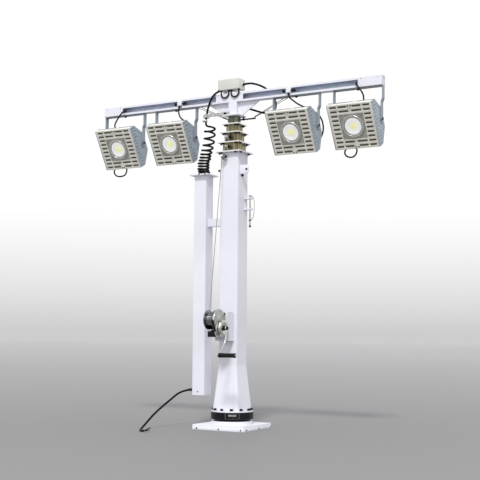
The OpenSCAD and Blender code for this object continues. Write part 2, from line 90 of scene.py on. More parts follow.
# ---------- materials ----------
def shade(code):
    """An sRGB hex colour as the linear RGBA that the shaders take."""
    parts = [int(code[i : i + 2], 16) / 255 for i in (1, 3, 5)]
    return (*(p / 12.92 if p <= 0.04045 else ((p + 0.055) / 1.055) ** 2.4 for p in parts), 1)


def add(tree, kind, inputs=(), **settings):
    """Adds one node with its settings; an input is a value or the socket that feeds it."""
    node = tree.nodes.new(kind)
    for name, value in settings.items():
        setattr(node, name, value)
    for socket, value in dict(inputs).items():
        if isinstance(value, bpy.types.NodeSocket):
            tree.links.new(value, node.inputs[socket])
        else:
            node.inputs[socket].default_value = value
    return node.outputs


def new_finish(name, **values):
    """A material, its tree, its shader with the given socket values, and Object coordinates."""
    material = bpy.data.materials.new(name)
    material.use_nodes = True
    tree = material.node_tree
    shader = tree.nodes["Principled BSDF"]
    for socket, value in values.items():
        shader.inputs[socket.replace("_", " ")].default_value = value
    return material, tree, shader, add(tree, "ShaderNodeTexCoord")["Object"]


def tones_along(tree, factor, *steps):
    """Greys or colours that blend from place to place along a 0 to 1 factor."""
    tones = add(tree, "ShaderNodeValToRGB", {"Fac": factor})["Color"]
    stops = tones.node.color_ramp.elements
    for k, (position, tone) in enumerate(steps):
        stop = stops[k] if k < 2 else stops.new(position)
        stop.position = position
        stop.color = (*tone[:3], 1) if isinstance(tone, tuple) else (tone, tone, tone, 1)
    return tones


def two_tone(tree, shader, factor, low, high):
    """Colours the shader between two hex shades by a 0 to 1 factor."""
    tones = tones_along(tree, factor, (0.35, shade(low)), (0.65, shade(high)))
    tree.links.new(tones, shader.inputs["Base Color"])


def bumpy(tree, shader, height, depth, strength):
    """Bump of a given depth in metres from a height."""
    bump = add(tree, "ShaderNodeBump", {"Strength": strength, "Distance": depth, "Height": height})
    tree.links.new(bump["Normal"], shader.inputs["Normal"])


def rough_between(tree, shader, factor, low, high):
    """Roughness that runs from low to high with a 0 to 1 factor."""
    span = add(tree, "ShaderNodeMapRange", {"To Min": low, "To Max": high, "Value": factor})
    tree.links.new(span["Result"], shader.inputs["Roughness"])


def grained(name, tones, cloud, rough, grain, bump, **values):
    """Tone and roughness drift with one noise, its scale and detail given, under the bump of a finer one."""
    material, tree, shader, place = new_finish(name, **values)
    drift = add(tree, "ShaderNodeTexNoise", {"Scale": cloud[0], "Detail": cloud[1], "Vector": place})["Fac"]
    two_tone(tree, shader, drift, *tones)
    rough_between(tree, shader, drift, *rough)
    fine = add(tree, "ShaderNodeTexNoise", {"Scale": grain, "Detail": 1, "Vector": place})
    bumpy(tree, shader, fine["Fac"], *bump)
    return material


def powder_coated_steel(name, low, high, roughness):
    """Powder coat baked on steel: even colour, soft gloss, a faint orange-peel skin of 3 mm cells."""
    material, tree, shader, place = new_finish(name, Coat_Weight=0.15, Coat_Roughness=0.2)
    cloud = add(tree, "ShaderNodeTexNoise", {"Scale": 2.2, "Detail": 3, "Vector": place})
    two_tone(tree, shader, cloud["Fac"], low, high)
    peel = add(tree, "ShaderNodeTexNoise", {"Scale": 330, "Detail": 1, "Vector": place})
    bumpy(tree, shader, peel["Fac"], 0.0004, 0.25)
    smear = add(tree, "ShaderNodeTexNoise", {"Scale": 14, "Detail": 4, "Vector": place})
    rough_between(tree, shader, smear["Fac"], roughness - 0.08, roughness + 0.1)
    return material


def zinc_plated_steel(name, low, high):
    """Hot-dip zinc: a metal grey broken into 9 mm crystals, each a little lighter or darker."""
    material, tree, shader, place = new_finish(name, Metallic=0.75)
    crystals = add(tree, "ShaderNodeTexVoronoi", {"Scale": 110, "Vector": place})
    grey = add(tree, "ShaderNodeSeparateColor", {"Color": crystals["Color"]})
    two_tone(tree, shader, grey["Red"], low, high)
    rough_between(tree, shader, grey["Green"], 0.32, 0.5)
    grain = add(tree, "ShaderNodeTexNoise", {"Scale": 500, "Detail": 2, "Vector": place})
    bumpy(tree, shader, grain["Fac"], 0.0003, 0.3)
    return material


def passivated_tube(name, half_width, low, high):
    """Yellow-passivated zinc on a drawn tube: olive-brass with long darker streaks;
    the flange outside the tube's walls is the same plate, left brighter."""
    material, tree, shader, place = new_finish(name, Metallic=0.82)
    stretch = add(tree, "ShaderNodeMapping", {"Scale": (90, 90, 4), "Vector": place})
    streaks = add(tree, "ShaderNodeTexNoise", {"Scale": 1, "Detail": 4, "Vector": stretch["Vector"]})["Fac"]
    brass = tones_along(tree, streaks, (0.3, shade(low)), (0.7, shade(high)))
    axes = add(tree, "ShaderNodeSeparateXYZ", {"Vector": place})
    wide_x = add(tree, "ShaderNodeMath", {0: axes["X"]}, operation="ABSOLUTE")["Value"]
    wide_y = add(tree, "ShaderNodeMath", {0: axes["Y"]}, operation="ABSOLUTE")["Value"]
    widest = add(tree, "ShaderNodeMath", {0: wide_x, 1: wide_y}, operation="MAXIMUM")["Value"]
    edge = half_width + 0.0015
    on_flange = add(tree, "ShaderNodeMath", {0: widest, 1: edge}, operation="GREATER_THAN")["Value"]
    plated = {"Factor": on_flange, "A": brass, "B": shade("#f0f0ec")}
    both = add(tree, "ShaderNodeMix", plated, data_type="RGBA")
    tree.links.new(both["Result"], shader.inputs["Base Color"])
    rough_between(tree, shader, streaks, 0.26, 0.46)
    bumpy(tree, shader, streaks, 0.0003, 0.2)
    return material


def painted_channel(name):
    """The beam: white powder coat outside; inside the open channel, bare hot-dip zinc in a bluish grey with
    painted shade that darkens toward the top, under the top lip.
    """
    material, tree, shader, place = new_finish(name, Coat_Weight=0.1)
    axes = add(tree, "ShaderNodeSeparateXYZ", {"Vector": place})
    rise = add(tree, "ShaderNodeMath", {0: axes["Z"], 1: -CHANNEL_Z}, operation="ADD")["Value"]
    height = add(tree, "ShaderNodeMath", {0: rise}, operation="ABSOLUTE")["Value"]
    behind_lips = add(tree, "ShaderNodeMath", {0: axes["Y"], 1: -0.0243}, operation="GREATER_THAN")["Value"]
    before_wall = add(tree, "ShaderNodeMath", {0: axes["Y"], 1: 0.0225}, operation="LESS_THAN")["Value"]
    within = add(tree, "ShaderNodeMath", {0: height, 1: 0.0285}, operation="LESS_THAN")["Value"]
    deep = add(tree, "ShaderNodeMath", {0: behind_lips, 1: before_wall}, operation="MULTIPLY")["Value"]
    inside = add(tree, "ShaderNodeMath", {0: deep, 1: within}, operation="MULTIPLY")["Value"]
    # Painted shade: the inside of the channel darkens toward its top lip.
    painted_shade_span = {"From Min": -0.028, "From Max": 0.028, "To Min": 0.15, "To Max": 0.85, "Value": rise}
    painted_shade_to_top = add(tree, "ShaderNodeMapRange", painted_shade_span)["Result"]
    zinc = {"Factor": painted_shade_to_top, "A": shade("#e9eef8"), "B": shade("#bfc9dc")}
    grey = add(tree, "ShaderNodeMix", zinc, data_type="RGBA")["Result"]
    crystals = add(tree, "ShaderNodeTexVoronoi", {"Scale": 110, "Vector": place})["Color"]
    flake = add(tree, "ShaderNodeMix", {"Factor": 0.12, "A": grey, "B": crystals}, data_type="RGBA")["Result"]
    both = add(tree, "ShaderNodeMix", {"Factor": inside, "A": shade("#e7e7f0"), "B": flake}, data_type="RGBA")
    tree.links.new(both["Result"], shader.inputs["Base Color"])
    sheen = add(tree, "ShaderNodeMath", {0: inside, 1: 0.1}, operation="MULTIPLY")
    tree.links.new(sheen["Value"], shader.inputs["Metallic"])
    smear = add(tree, "ShaderNodeTexNoise", {"Scale": 14, "Detail": 4, "Vector": place})
    rough_between(tree, shader, smear["Fac"], 0.28, 0.45)
    return material


def brushed_steel(name, low, high, along):
    """Bright drawn steel: fine scratches that run one way, drawn 1 mm apart so that they show."""
    material, tree, shader, place = new_finish(name, Metallic=1)
    stretch = add(tree, "ShaderNodeMapping", {"Scale": along, "Vector": place})
    scratch = add(tree, "ShaderNodeTexNoise", {"Scale": 1, "Detail": 3, "Vector": stretch["Vector"]})["Fac"]
    two_tone(tree, shader, scratch, low, high)
    rough_between(tree, shader, scratch, 0.18, 0.36)
    bumpy(tree, shader, scratch, 0.0002, 0.15)
    return material


def black_oxide_steel(name, low, high, roughness):
    """Blackened or black-enamelled steel: near black, satin, with a fine cast grain of 2 mm."""
    rough = roughness - 0.08, roughness + 0.12
    values = {"Metallic": 0.3, "Specular_IOR_Level": 0.28}
    return grained(name, (low, high), (30, 4), rough, 480, (0.0004, 0.25), **values)


def die_cast_aluminium(name, low, high, roughness, pits, metal=0.35):
    """Die-cast aluminium: dull metal with the mould's pebbled skin, pits a few millimetres apart."""
    material, tree, shader, place = new_finish(name, Metallic=metal)
    cloud = add(tree, "ShaderNodeTexNoise", {"Scale": 60, "Detail": 5, "Vector": place})["Fac"]
    two_tone(tree, shader, cloud, low, high)
    rough_between(tree, shader, cloud, roughness - 0.1, roughness + 0.1)
    skin = add(tree, "ShaderNodeTexVoronoi", {"Scale": pits, "Vector": place})
    bumpy(tree, shader, skin["Distance"], 0.0006, 0.35)
    return material


def moulded_plastic(name, low, high, roughness):
    """Injection-moulded plastic: even colour with a fine spark-eroded grain of about 1.5 mm."""
    rough = roughness - 0.05, roughness + 0.08
    return grained(name, (low, high), (9, 3), rough, 650, (0.0003, 0.3), IOR=1.5, Specular_IOR_Level=0.3)


def rubber_sheath(name, low, high):
    """Extruded rubber cable sheath: matt black, dusty in the low places, a 1 mm grain."""
    values = {"IOR": 1.52, "Specular_IOR_Level": 0.2}
    return grained(name, (low, high), (26, 4), (0.5, 0.7), 900, (0.0002, 0.3), **values)


def lens_glass(name):
    """Pressed borosilicate glass: clear, a little rippled from the mould every 30 mm. It is drawn
    as a thin clear coat with a sharp gloss, so that the cup behind it stays bright."""
    material, tree, shader, place = new_finish(name, IOR=1.47, Alpha=0.12, Coat_Weight=1, Coat_Roughness=0.03)
    ripple = add(tree, "ShaderNodeTexNoise", {"Scale": 33, "Detail": 1, "Vector": place})["Fac"]
    two_tone(tree, shader, ripple, "#e9ecec", "#ffffff")
    rough_between(tree, shader, ripple, 0.04, 0.1)
    bumpy(tree, shader, ripple, 0.0006, 0.1)
    return material


def reflector_cup(name):
    """Vacuum-metallised plastic reflector: a white silver with a fine 2 mm facet. Though it is no lamp, a
    faint painted glow brightens it, standing in for the light it gathers."""
    painted_glow = {"Emission_Color": shade("#ffffff"), "Emission_Strength": 0.28}
    material, tree, shader, place = new_finish(name, Metallic=0.1, **painted_glow)
    facets = add(tree, "ShaderNodeTexVoronoi", {"Scale": 420, "Vector": place})
    grey = add(tree, "ShaderNodeSeparateColor", {"Color": facets["Color"]})
    two_tone(tree, shader, grey["Red"], "#eceeec", "#ffffff")
    rough_between(tree, shader, grey["Green"], 0.25, 0.4)
    return material


def led_phosphor(name):
    """The phosphor over a chip-on-board LED: opaque pale yellow silicone, faintly mottled, with a faint
    painted glow that stands in for reflected light, not the LED's own light.
    """
    painted_glow = {"Emission_Color": shade("#f6f3a8"), "Emission_Strength": 0.42}
    material, tree, shader, place = new_finish(name, IOR=1.41, Roughness=0.35, **painted_glow)
    mottle = add(tree, "ShaderNodeTexNoise", {"Scale": 300, "Detail": 2, "Vector": place})["Fac"]
    two_tone(tree, shader, mottle, "#e9e690", "#f6f4bd")
    bumpy(tree, shader, mottle, 0.0003, 0.2)
    return material


WHITE = powder_coated_steel("white_powder_coat", "#e1e1ea", "#ebebf3", 0.34)
YOKE_GREY = powder_coated_steel("blue_grey_powder_coat", "#8b949d", "#9aa3ab", 0.42)
SIDE_GREY = powder_coated_steel("slate_powder_coat", "#98a4af", "#aab5be", 0.45)
GALVANISED = zinc_plated_steel("hot_dip_zinc", "#a9acaa", "#c6c8c5")
BRIGHT = brushed_steel("drawn_bright_steel", "#b4b4af", "#dcdcd8", (900, 900, 40))
WIRE_ROPE = brushed_steel("stranded_steel_wire", "#7b7d7e", "#bcbebe", (500, 500, 500))
GEAR_CASE = die_cast_aluminium("cast_gear_case", "#9c9e96", "#c0c2ba", 0.38, 260, 0.55)
DRUM_ZINC = brushed_steel("zinc_plated_drum_steel", "#7c8081", "#b4b7b7", (300, 300, 300))
BRAKE = brushed_steel("turned_brake_steel", "#b9bab4", "#dfdfda", (350, 350, 350))
BLACK_ENAMEL = black_oxide_steel("black_enamelled_steel", "#0d0e10", "#1d1e21", 0.36)
BLACK_BOLT = black_oxide_steel("black_oxide_bolt", "#0a0a0b", "#19191b", 0.34)
LAMP_FACE = die_cast_aluminium("sand_grey_cast_face", "#e6e4d8", "#f0eee4", 0.5, 420, 0.08)
# Painted shade: a darker cast tone for the slots and for sides hidden behind plates.
SLOT_SHADE = die_cast_aluminium("painted_shade_cast_slot", "#67655b", "#7b786c", 0.7, 300)
LAMP_MODULE = die_cast_aluminium("pebbled_cast_module", "#a5a298", "#bcb9ae", 0.5, 230)
LAMP_BODY = die_cast_aluminium("grey_cast_housing", "#7d8387", "#8f9599", 0.5, 320)
TRIM = brushed_steel("turned_aluminium_trim", "#d2d4d2", "#f2f3f1", (260, 260, 260))
BEAM = painted_channel("painted_channel_beam")
STAY_WIRE = rubber_sheath("black_pvc_coated_wire", "#0f0f10", "#1e1e1f")
GRIP = moulded_plastic("black_polypropylene_grip", "#0b0b0c", "#151517", 0.26)
GLAND = moulded_plastic("black_nylon_gland", "#0e0e10", "#1b1b1e", 0.4)
BOX = moulded_plastic("grey_abs_box", "#cfcec8", "#dddcd6", 0.42)
TEE = moulded_plastic("white_nylon_connector", "#e4e6ea", "#f0f1f4", 0.4)
SHEATH = rubber_sheath("black_rubber_sheath", "#080809", "#151516")
GLASS = lens_glass("pressed_lens_glass")
CUP = reflector_cup("metallised_reflector")
PHOSPHOR = led_phosphor("led_phosphor")


# ---------- making and fitting a piece ----------
def deselect():
    bpy.ops.object.select_all(action="DESELECT")


def begin(name, finish):
    """Names the primitive just added and bakes its place into its mesh."""
    piece = bpy.context.object
    piece.name = piece.data.name = name
    bpy.ops.object.transform_apply(location=True, rotation=True, scale=True)
    piece.data.materials.append(finish)
    return piece


def block(name, low, high, finish):
    """A box between two corners, to be shaped."""
    deselect()
    middle = [(a + b) / 2 for a, b in zip(low, high)]
    size = [b - a for a, b in zip(low, high)]
    bpy.ops.mesh.primitive_cube_add(size=1, location=middle, scale=size)
    return begin(name, finish)


def round_bar(name, radius, low, high, finish, sides=32):
    """A bar of round section between two points, to be shaped; few sides make a nut."""
    deselect()
    low, high = Vector(low), Vector(high)
    turn = (high - low).to_track_quat("Z", "Y").to_euler()
    bpy.ops.mesh.primitive_cylinder_add(vertices=sides, radius=radius, depth=(high - low).length,
                                        location=(low + high) / 2, rotation=turn)
    return begin(name, finish)


def turned(name, outline, at, way, finish, steps=48, sweep=360, start=None):
    """Spins a half outline of (radius, rise) points about the line that leaves a point along a way."""
    way, at = Vector(way).normalized(), Vector(at)
    side = start or way.orthogonal().normalized()
    spots = [at + side * radius + way * rise for radius, rise in outline]
    deselect()
    bpy.ops.mesh.primitive_plane_add(size=0.001, location=spots[0])
    piece = begin(name, finish)
    pick(piece, lambda vert: True, "VERT")
    bpy.ops.mesh.merge(type="CENTER")
    for here, there in zip(spots, spots[1:]):
        bpy.ops.mesh.extrude_vertices_move(TRANSFORM_OT_translate={"value": there - here})
    bpy.ops.mesh.select_all(action="SELECT")
    bpy.ops.mesh.spin(steps=steps, angle=math.radians(sweep), center=at, axis=way)
    bpy.ops.mesh.select_all(action="SELECT")
    bpy.ops.mesh.remove_doubles(threshold=1e-6)
    if sweep < 360:
        bpy.ops.mesh.fill_holes(sides=12)
    bpy.ops.mesh.select_all(action="SELECT")
    bpy.ops.mesh.normals_make_consistent(inside=False)
    done()
    return soften(piece, 0, angle=32)


def only(piece):
    """Makes piece the one selected and active object."""
    deselect()
    piece.select_set(True)
    bpy.context.view_layer.objects.active = piece


def pick(piece, test, kind="FACE"):
    """Edit mode, with only the faces, edges or corners that pass the test selected."""
    only(piece)
    bpy.ops.object.mode_set(mode="EDIT")
    bpy.ops.mesh.select_mode(type=kind)
    bpy.ops.mesh.select_all(action="DESELECT")
    shape = bmesh.from_edit_mesh(piece.data)
    for part in {"FACE": shape.faces, "EDGE": shape.edges, "VERT": shape.verts}[kind]:
        if test(part):
            part.select_set(True)
    shape.select_flush_mode()
    bmesh.update_edit_mesh(piece.data)


def facing(x=0, y=0, z=0):
    """Tests for faces that look along one direction."""
    way = Vector((x, y, z)).normalized()
    return lambda face: face.normal.dot(way) > 0.9


def done():
    bpy.ops.object.mode_set(mode="OBJECT")


def push(offset):
    """Extrudes what is selected by an offset."""
    bpy.ops.mesh.extrude_region_move(TRANSFORM_OT_translate={"value": offset})


def span(edge, axis):
    """How far an edge runs along one of the axes 0, 1 and 2."""
    low, high = (vert.co[axis] for vert in edge.verts)
    return abs(low - high)


def squeeze(factor, middle):
    """Resizes what is selected about a point."""
    bpy.ops.transform.resize(value=factor, center_override=middle)


def apply_modifier(piece, kind, **settings):
    only(piece)
    modifier = piece.modifiers.new("step", kind)
    for name, value in settings.items():
        setattr(modifier, name, value)
    bpy.ops.object.modifier_apply(modifier="step")


def soften(piece, width=0.001, segments=2, angle=35):
    """Rounds the sharp edges and shades the piece smooth up to them."""
    if width:
        apply_modifier(piece, "BEVEL", width=width, segments=segments, limit_method="ANGLE",
                       angle_limit=math.radians(angle), use_clamp_overlap=True)
    only(piece)
    bpy.ops.object.shade_smooth_by_angle(angle=math.radians(angle))
    return piece


def cut(piece, cutters):
    """Cuts the joined cutters out of the piece and throws them away."""
    tool = merge(cutters)
    apply_modifier(piece, "BOOLEAN", object=tool, operation="DIFFERENCE", solver="EXACT")
    drop(tool)
    return piece


def drop(piece):
    """Throws away a cutter or a pattern."""
    bpy.data.objects.remove(piece, do_unlink=True)


def paint(piece, finish, test):
    """Gives a second finish to the faces that pass the test."""
    if len(piece.data.materials) < 2:
        piece.data.materials.append(finish)
    pick(piece, test)
    piece.active_material_index = 1
    bpy.ops.object.material_slot_assign()
    done()


def bevel_edges(piece, test, offset, segments):
    """Rounds off only the edges that pass the test."""
    pick(piece, test, "EDGE")
    bpy.ops.mesh.bevel(offset=offset, segments=segments)
    done()


def inset(piece, test, *steps):
    """Insets the faces that pass the test, once for each thickness and depth."""
    pick(piece, test)
    for thickness, depth in steps:
        bpy.ops.mesh.inset(thickness=thickness, depth=depth)
    done()


def draw_out(piece, far, factor, at):
    """Draws the back face of a piece out along Y and resizes it about a point there."""
    pick(piece, facing(y=1))
    push((0, far, 0))
    squeeze(factor, (0, at, 0))
    done()


def rod(name, radius, low, high, finish, sides=32, width=0.0008, segments=1):
    """A round bar, or a nut, with its edges rounded off."""
    return soften(round_bar(name, radius, low, high, finish, sides), width, segments)


def merge(parts, name=None):
    """Joins several parts into the first one."""
    deselect()
    for part in parts:
        part.select_set(True)
    bpy.context.view_layer.objects.active = parts[0]
    if len(parts) > 1:
        bpy.ops.object.join()
    if name:
        parts[0].name = parts[0].data.name = name
    return parts[0]


def copy_of(piece, move=(0, 0, 0), turn=None, name=None):
    """A copy with its own mesh, moved, or turned by a matrix first."""
    twin = piece.copy()
    twin.data = piece.data.copy()
    bpy.context.scene.collection.objects.link(twin)
    twin.data.transform(Matrix.Translation(move) @ (turn or Matrix.Identity(4)))
    if name:
        twin.name = twin.data.name = name
    return twin


def mirrored(piece, axis, across=(0, 0, 0)):
    """A mirror copy about the plane through a point, its faces turned the right way round."""
    twin = copy_of(piece, turn=Matrix.Translation(2 * Vector(across)) @ Matrix.Scale(-1, 4, axis))
    twin.data.flip_normals()
    return twin


def fit(piece, body, slot_name, *nodes):
    """Hangs a finished piece on its body in place of the nodes it stands for, which are hidden; slot_name is
    not used.
    """
    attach(piece, body)
    if nodes:
        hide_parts(*nodes)
    return piece


def dress(finish, *nodes):
    """Gives kept CAD nodes their finish."""
    for node in nodes:
        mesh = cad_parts[node].data
        mesh.materials.clear()
        mesh.materials.append(finish)


def hex_bolt(name, head, way, size=0.016, thick=0.007, finish=BLACK_BOLT, washer=True):
    """A hexagon head on a washer: head is the seat on the plate, way points outwards."""
    head, way = Vector(head), Vector(way).normalized()
    parts = [round_bar(name, size * 0.72, head, head + way * 0.0018, finish, 20)] if washer else []
    rise = 0.0016 if washer else 0
    nut = round_bar(name, size * 0.54, head + way * rise, head + way * (rise + thick), finish, 6)
    return merge(parts + [soften(nut, 0.0009, 1)], name)


# ---------- cords ----------
def metres(points):
    return [Vector(p) / 1000 for p in points]


def smooth_line(points, steps):
    """A smooth curve through the points, with a few steps between neighbours."""
    line = []
    for i in range(len(points) - 1):
        a, b = points[max(i - 1, 0)], points[i]
        c, d = points[i + 1], points[min(i + 2, len(points) - 1)]
        for k in range(steps):
            t = k / steps
            line.append(0.5 * (2 * b + (c - a) * t + (2 * a - 5 * b + 4 * c - d) * t * t
                               + (3 * b - 3 * c + d - a) * t ** 3))
    return line + [points[-1]]


def length_of(line):
    return sum((b - a).length for a, b in zip(line, line[1:]))


def sheathed(name, line, diameter, finish, sides=12):
    """A round mesh tube along a line, its rings in order, closed at both ends."""
    rings, faces = [], []
    side = Vector((0.31, 0.9, 0.2))
    for i, point in enumerate(line):
        ahead = (line[min(i + 1, len(line) - 1)] - line[max(i - 1, 0)]).normalized()
        side = (side - side.dot(ahead) * ahead).normalized()
        across = ahead.cross(side)
        for k in range(sides):
            a = 2 * math.pi * k / sides
            rings.append(point + (side * math.cos(a) + across * math.sin(a)) * diameter / 2)
    for first in range(0, (len(line) - 1) * sides, sides):
        for k in range(sides):
            a, b = first + k, first + (k + 1) % sides
            faces.append((a, b, b + sides, a + sides))
    last = (len(line) - 1) * sides
    faces += [tuple(reversed(range(sides))), tuple(range(last, last + sides))]
    tube = bpy.data.meshes.new(name)
    tube.from_pydata([tuple(v) for v in rings], [], faces)
    tube.materials.append(finish)
    piece = bpy.data.objects.new(name, tube)
    bpy.context.scene.collection.objects.link(piece)
    return soften(piece, 0, angle=60)


def follow_both(piece, line, start, end, share):
    """Bakes the tube's place into its mesh and works out a weight for each ring by its share along the line;
    the weights are not applied, and start and end are not used.
    """
    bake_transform(piece)
    sides = len(piece.data.vertices) // len(line)
    weights = [share(i) for i in range(len(line)) for _ in range(sides)]



# Routes as in the part's source, in millimetres here and in metres once read
MAINS_ROUTE = metres([
    (-293.5, 0, 230), (-322.2, -5, 227.5), (-348.3, -19.4, 220.3), (-367, -41.3, 209.5),
    (-375.6, -67.6, 196.4), (-380, -104, 178.5), (-385, -143, 158.5), (-391, -188, 136),
    (-396, -240, 109), (-398, -295, 80), (-396, -345, 53), (-391, -391, 31), (-383, -433, 14.5),
    (-368, -468, 7), (-348, -490, 7), (-320, -504, 7)])
ARM_LEAD_ROUTE = metres([
    (-111, -32, 2140.3), (-123, -34, 2133.8), (-135, -36.5, 2124), (-146, -38, 2111.5),
    (-156, -38, 2096), (-164.5, -37.5, 2079), (-172.5, -36, 2060), (-181, -33, 2040),
    (-190.5, -26.5, 2019), (-199.5, -18.5, 2001), (-206, -14, 1984), (-206.5, -14, 1970),
    (-205, -17, 1957)])
LAST_OF_LEAD = metres([(-202.7, -20.8, 1944.4), (-196.6, -25, 1934.2), (-187.5, -30.2, 1926.7)])
COIL_AXIS = metres([
    (-186, 0, 1948), (-185, 0, 1900), (-187, 0, 1850), (-198, 0, 1795), (-216, 0, 1735),
    (-229, 0, 1690), (-231, 0, 1655), (-226, 0, 1620), (-226, 0, 1500), (-226, 0, 1000),
    (-226, 0, 260)])
BOX_LOOP_ROUTE = metres([
    (-28, 0, -0.5), (-28, -1, -10), (-26.5, -2.5, -22), (-21, -3.5, -32), (-12, -4.5, -39),
    (0, -5, -41.5), (12, -4.5, -39), (21, -3.5, -32), (26.5, -2.5, -22), (28, -1, -10),
    (28, 0, -0.5)])
BEAM_CABLE_ROUTE = metres([
    (70, 0, 2179), (90, 3, 2182), (118, 17, 2183), (157, 36, 2172), (200, 46, 2148),
    (240, 50, 2112), (266, 52, 2064), (270, 53, 2024), (255, 54, 1998), (222, 54, 1987),
    (180, 53, 1993), (130, 51, 2010), (85, 50, 2026), (50, 46, 2033), (42, 42, 2035)])
LAMP_LEAD_ROUTES = [
    metres([
        (-850, -8, 2096), (-853, -34, 2090), (-862, -54, 2066), (-877, -66, 2034),
        (-894, -70, 2004), (-906, -58, 1982), (-914, -20, 1972), (-922, 26, 1956),
        (-934, 64, 1926), (-944, 84, 1880), (-958, 88, 1822), (-978, 84, 1762), (-997, 76, 1720),
        (-1000, 70, 1694), (-982, 64, 1672), (-952, 58, 1661), (-920, 52, 1659.5),
        (-896, 47, 1664), (-879, 41, 1675), (-869, 35, 1690), (-865, 30, 1705)]),
    metres([
        (-403, -32, 2079.5), (-403, -36, 2066), (-400, -45, 2044), (-388, -56, 2016),
        (-371, -62, 1992), (-356, -48, 1976), (-346, -6, 1964), (-346, 36, 1944),
        (-357, 72, 1908), (-373, 100, 1860), (-392, 114, 1816), (-412, 102, 1786),
        (-425, 76, 1777), (-429, 56, 1777)]),
    metres([
        (403, -32, 2079.5), (405, -36, 2066), (418, -47, 2046), (446, -58, 2024),
        (478, -64, 2000), (508, -56, 1982), (530, -20, 1972), (550, 20, 1960), (568, 58, 1942),
        (580, 84, 1904), (578, 102, 1858), (560, 112, 1816), (534, 106, 1786), (514, 78, 1777),
        (510, 56, 1777)]),
    metres([
        (850, -8, 2096), (856, -33, 2090), (871, -52, 2070), (890, -62, 2048), (908, -67, 2024),
        (918, -66, 1999), (913, -52, 1978), (898, -16, 1966), (879, 20, 1952), (857, 56, 1928),
        (834, 82, 1882), (807, 88, 1822), (774, 84, 1764), (744, 78, 1720), (736, 72, 1694),
        (750, 65, 1672), (776, 58, 1661), (802, 51, 1661), (822, 42, 1673), (832, 34, 1689),
        (834, 30, 1703)]),
]
SHEATH_D = {"mains": 0.013, "coil": 0.013, "loop": 0.01, "lead": 0.01}
# The supply's coil: its radius and ends, and the drop of each turn, which is even inside the duct.
COIL_R, COIL_TOP, COIL_FOOT, STEPS_A_TURN = 0.0335, 1.9228, 0.268, 16
PITCHES = [0.034, 0.05, 0.041, 0.031, 0.024, 0.02, 0.0185, 0.0185, 0.0185, 0.018]
STORED_PITCH = 0.0146
BOX_X, BOX_Z = -0.025, 2.147
LOOP_X, LOOP_Y = {"box_loop_left": BOX_X - 0.03, "box_loop_right": BOX_X + 0.044}, -0.03
LAMP_X = [-0.858, -0.444, 0.444, 0.858]
TILT_Z = 1.866
LAMP_TILT = math.radians(30)


def lay_mains_cord():
    """The supply cord arches from the duct's gland to the floor, and ends in its bared cores."""
    line = smooth_line(MAINS_ROUTE, 3)
    cord = sheathed("mains_cord", line, SHEATH_D["mains"], SHEATH, 16)
    end = MAINS_ROUTE[-1]
    cores = []
    for i, (spread, lift) in enumerate([(-0.006, 0.004), (0.001, 0.012), (0.008, 0.022)]):
        core = [end + Vector(p) for p in [(-0.012, 0.006, 0), (0.006, -0.0005 + spread * 0.3, lift * 0.12),
                                          (0.02, -0.001 + spread * 0.7, lift * 0.45),
                                          (0.031, 0.003 + spread, lift * 0.8),
                                          (0.038, 0.01 + spread, lift)]]
        cores.append(sheathed(f"core_{i}", smooth_line(core, 4), 0.0042, SHEATH, 8))
    tail = merge(cores, "bared_cores")
    boot = strain_boot("mains_boot", Vector((-0.2935, 0, DUCT_GLAND_Z)), Vector((-1, -0.05, -0.03)))
    fit(cord, "column", "cord_rubber", "mains_cable")
    fit(tail, "column", "cord_rubber")
    fit(boot, "column", "grip_plastic")
    tuple(MAINS_ROUTE[0])
    round(length_of(line), 3)


def strain_boot(name, root, way):
    """A tapered, ribbed sleeve over a 13 mm cord where it leaves its gland."""
    long, way = 0.034, way.normalized()
    tip = root + way * long
    boot = round_bar(name, 0.0105, root, tip, GLAND, 24)
    pick(boot, facing(*way))
    squeeze((0.68, 0.68, 0.68), tip)
    done()
    for share in (0.2, 0.35, 0.5, 0.65, 0.8):
        low, high = root + way * long * (share - 0.02), root + way * long * (share + 0.02)
        boot = merge([boot, round_bar("groove", 0.0104 - 0.0032 * share, low, high, GLAND, 24)])
    return soften(boot, 0.0008, 2)


def lay_supply_coil():
    """The lamp supply: from the box down the arm, then turn on turn into the duct."""
    axis = smooth_line(COIL_AXIS, 12)
    line = smooth_line(ARM_LEAD_ROUTE + LAST_OF_LEAD, 4)
    turns_from = len(line)
    angle, height, turn = math.radians(285.1), COIL_TOP, 0
    while height > COIL_FOOT:
        pitch = PITCHES[int(turn)] if turn < len(PITCHES) else STORED_PITCH
        passed = [(a, b) for a, b in zip(axis, axis[1:]) if a.z >= height >= b.z]
        a, b = passed[0]
        centre = a.lerp(b, (a.z - height) / (a.z - b.z))
        sway = 0.0025 * math.sin(turn * 2.3) if 5 < turn < 12 else 0
        out = Vector((math.cos(angle), math.sin(angle), 0))
        line.append(Vector((centre.x + sway, centre.y, height)) + out * COIL_R)
        angle += 2 * math.pi / STEPS_A_TURN
        turn += 1 / STEPS_A_TURN
        height -= pitch / STEPS_A_TURN
    last = len(line) - 1
    coil = sheathed("supply_coil", line, SHEATH_D["coil"], SHEATH, 10)
    follow_both(coil, line, (-0.226, 0, 0.27), (-0.206, 0, 1.92),
                lambda i: 1 if i <= turns_from else (last - i) / (last - turns_from))
    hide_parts("coil_cable", "arm_lead")
    tuple(line[0])
    round(length_of(line), 2)


def lay_box_loops():
    """Two short loops under the junction box, each from one gland to the next."""
    for name, x in LOOP_X.items():
        line = [p + Vector((x, LOOP_Y, BOX_Z - 0.008)) for p in smooth_line(BOX_LOOP_ROUTE, 3)]
        loop = fit(sheathed(name + "_cord", line, SHEATH_D["loop"], SHEATH), "head", "cord_rubber", name)
        tuple(line[0])
        round(length_of(line), 3)


def lay_beam_cable():
    """The cable that leaves the box's right end and dips behind the beam to the stub."""
    line = smooth_line(BEAM_CABLE_ROUTE, 3)
    cable = sheathed("beam_feed_cable", line, SHEATH_D["coil"], SHEATH)
    fit(cable, "head", "cord_rubber", "beam_cable")
    tuple(line[0])
    round(length_of(line), 3)


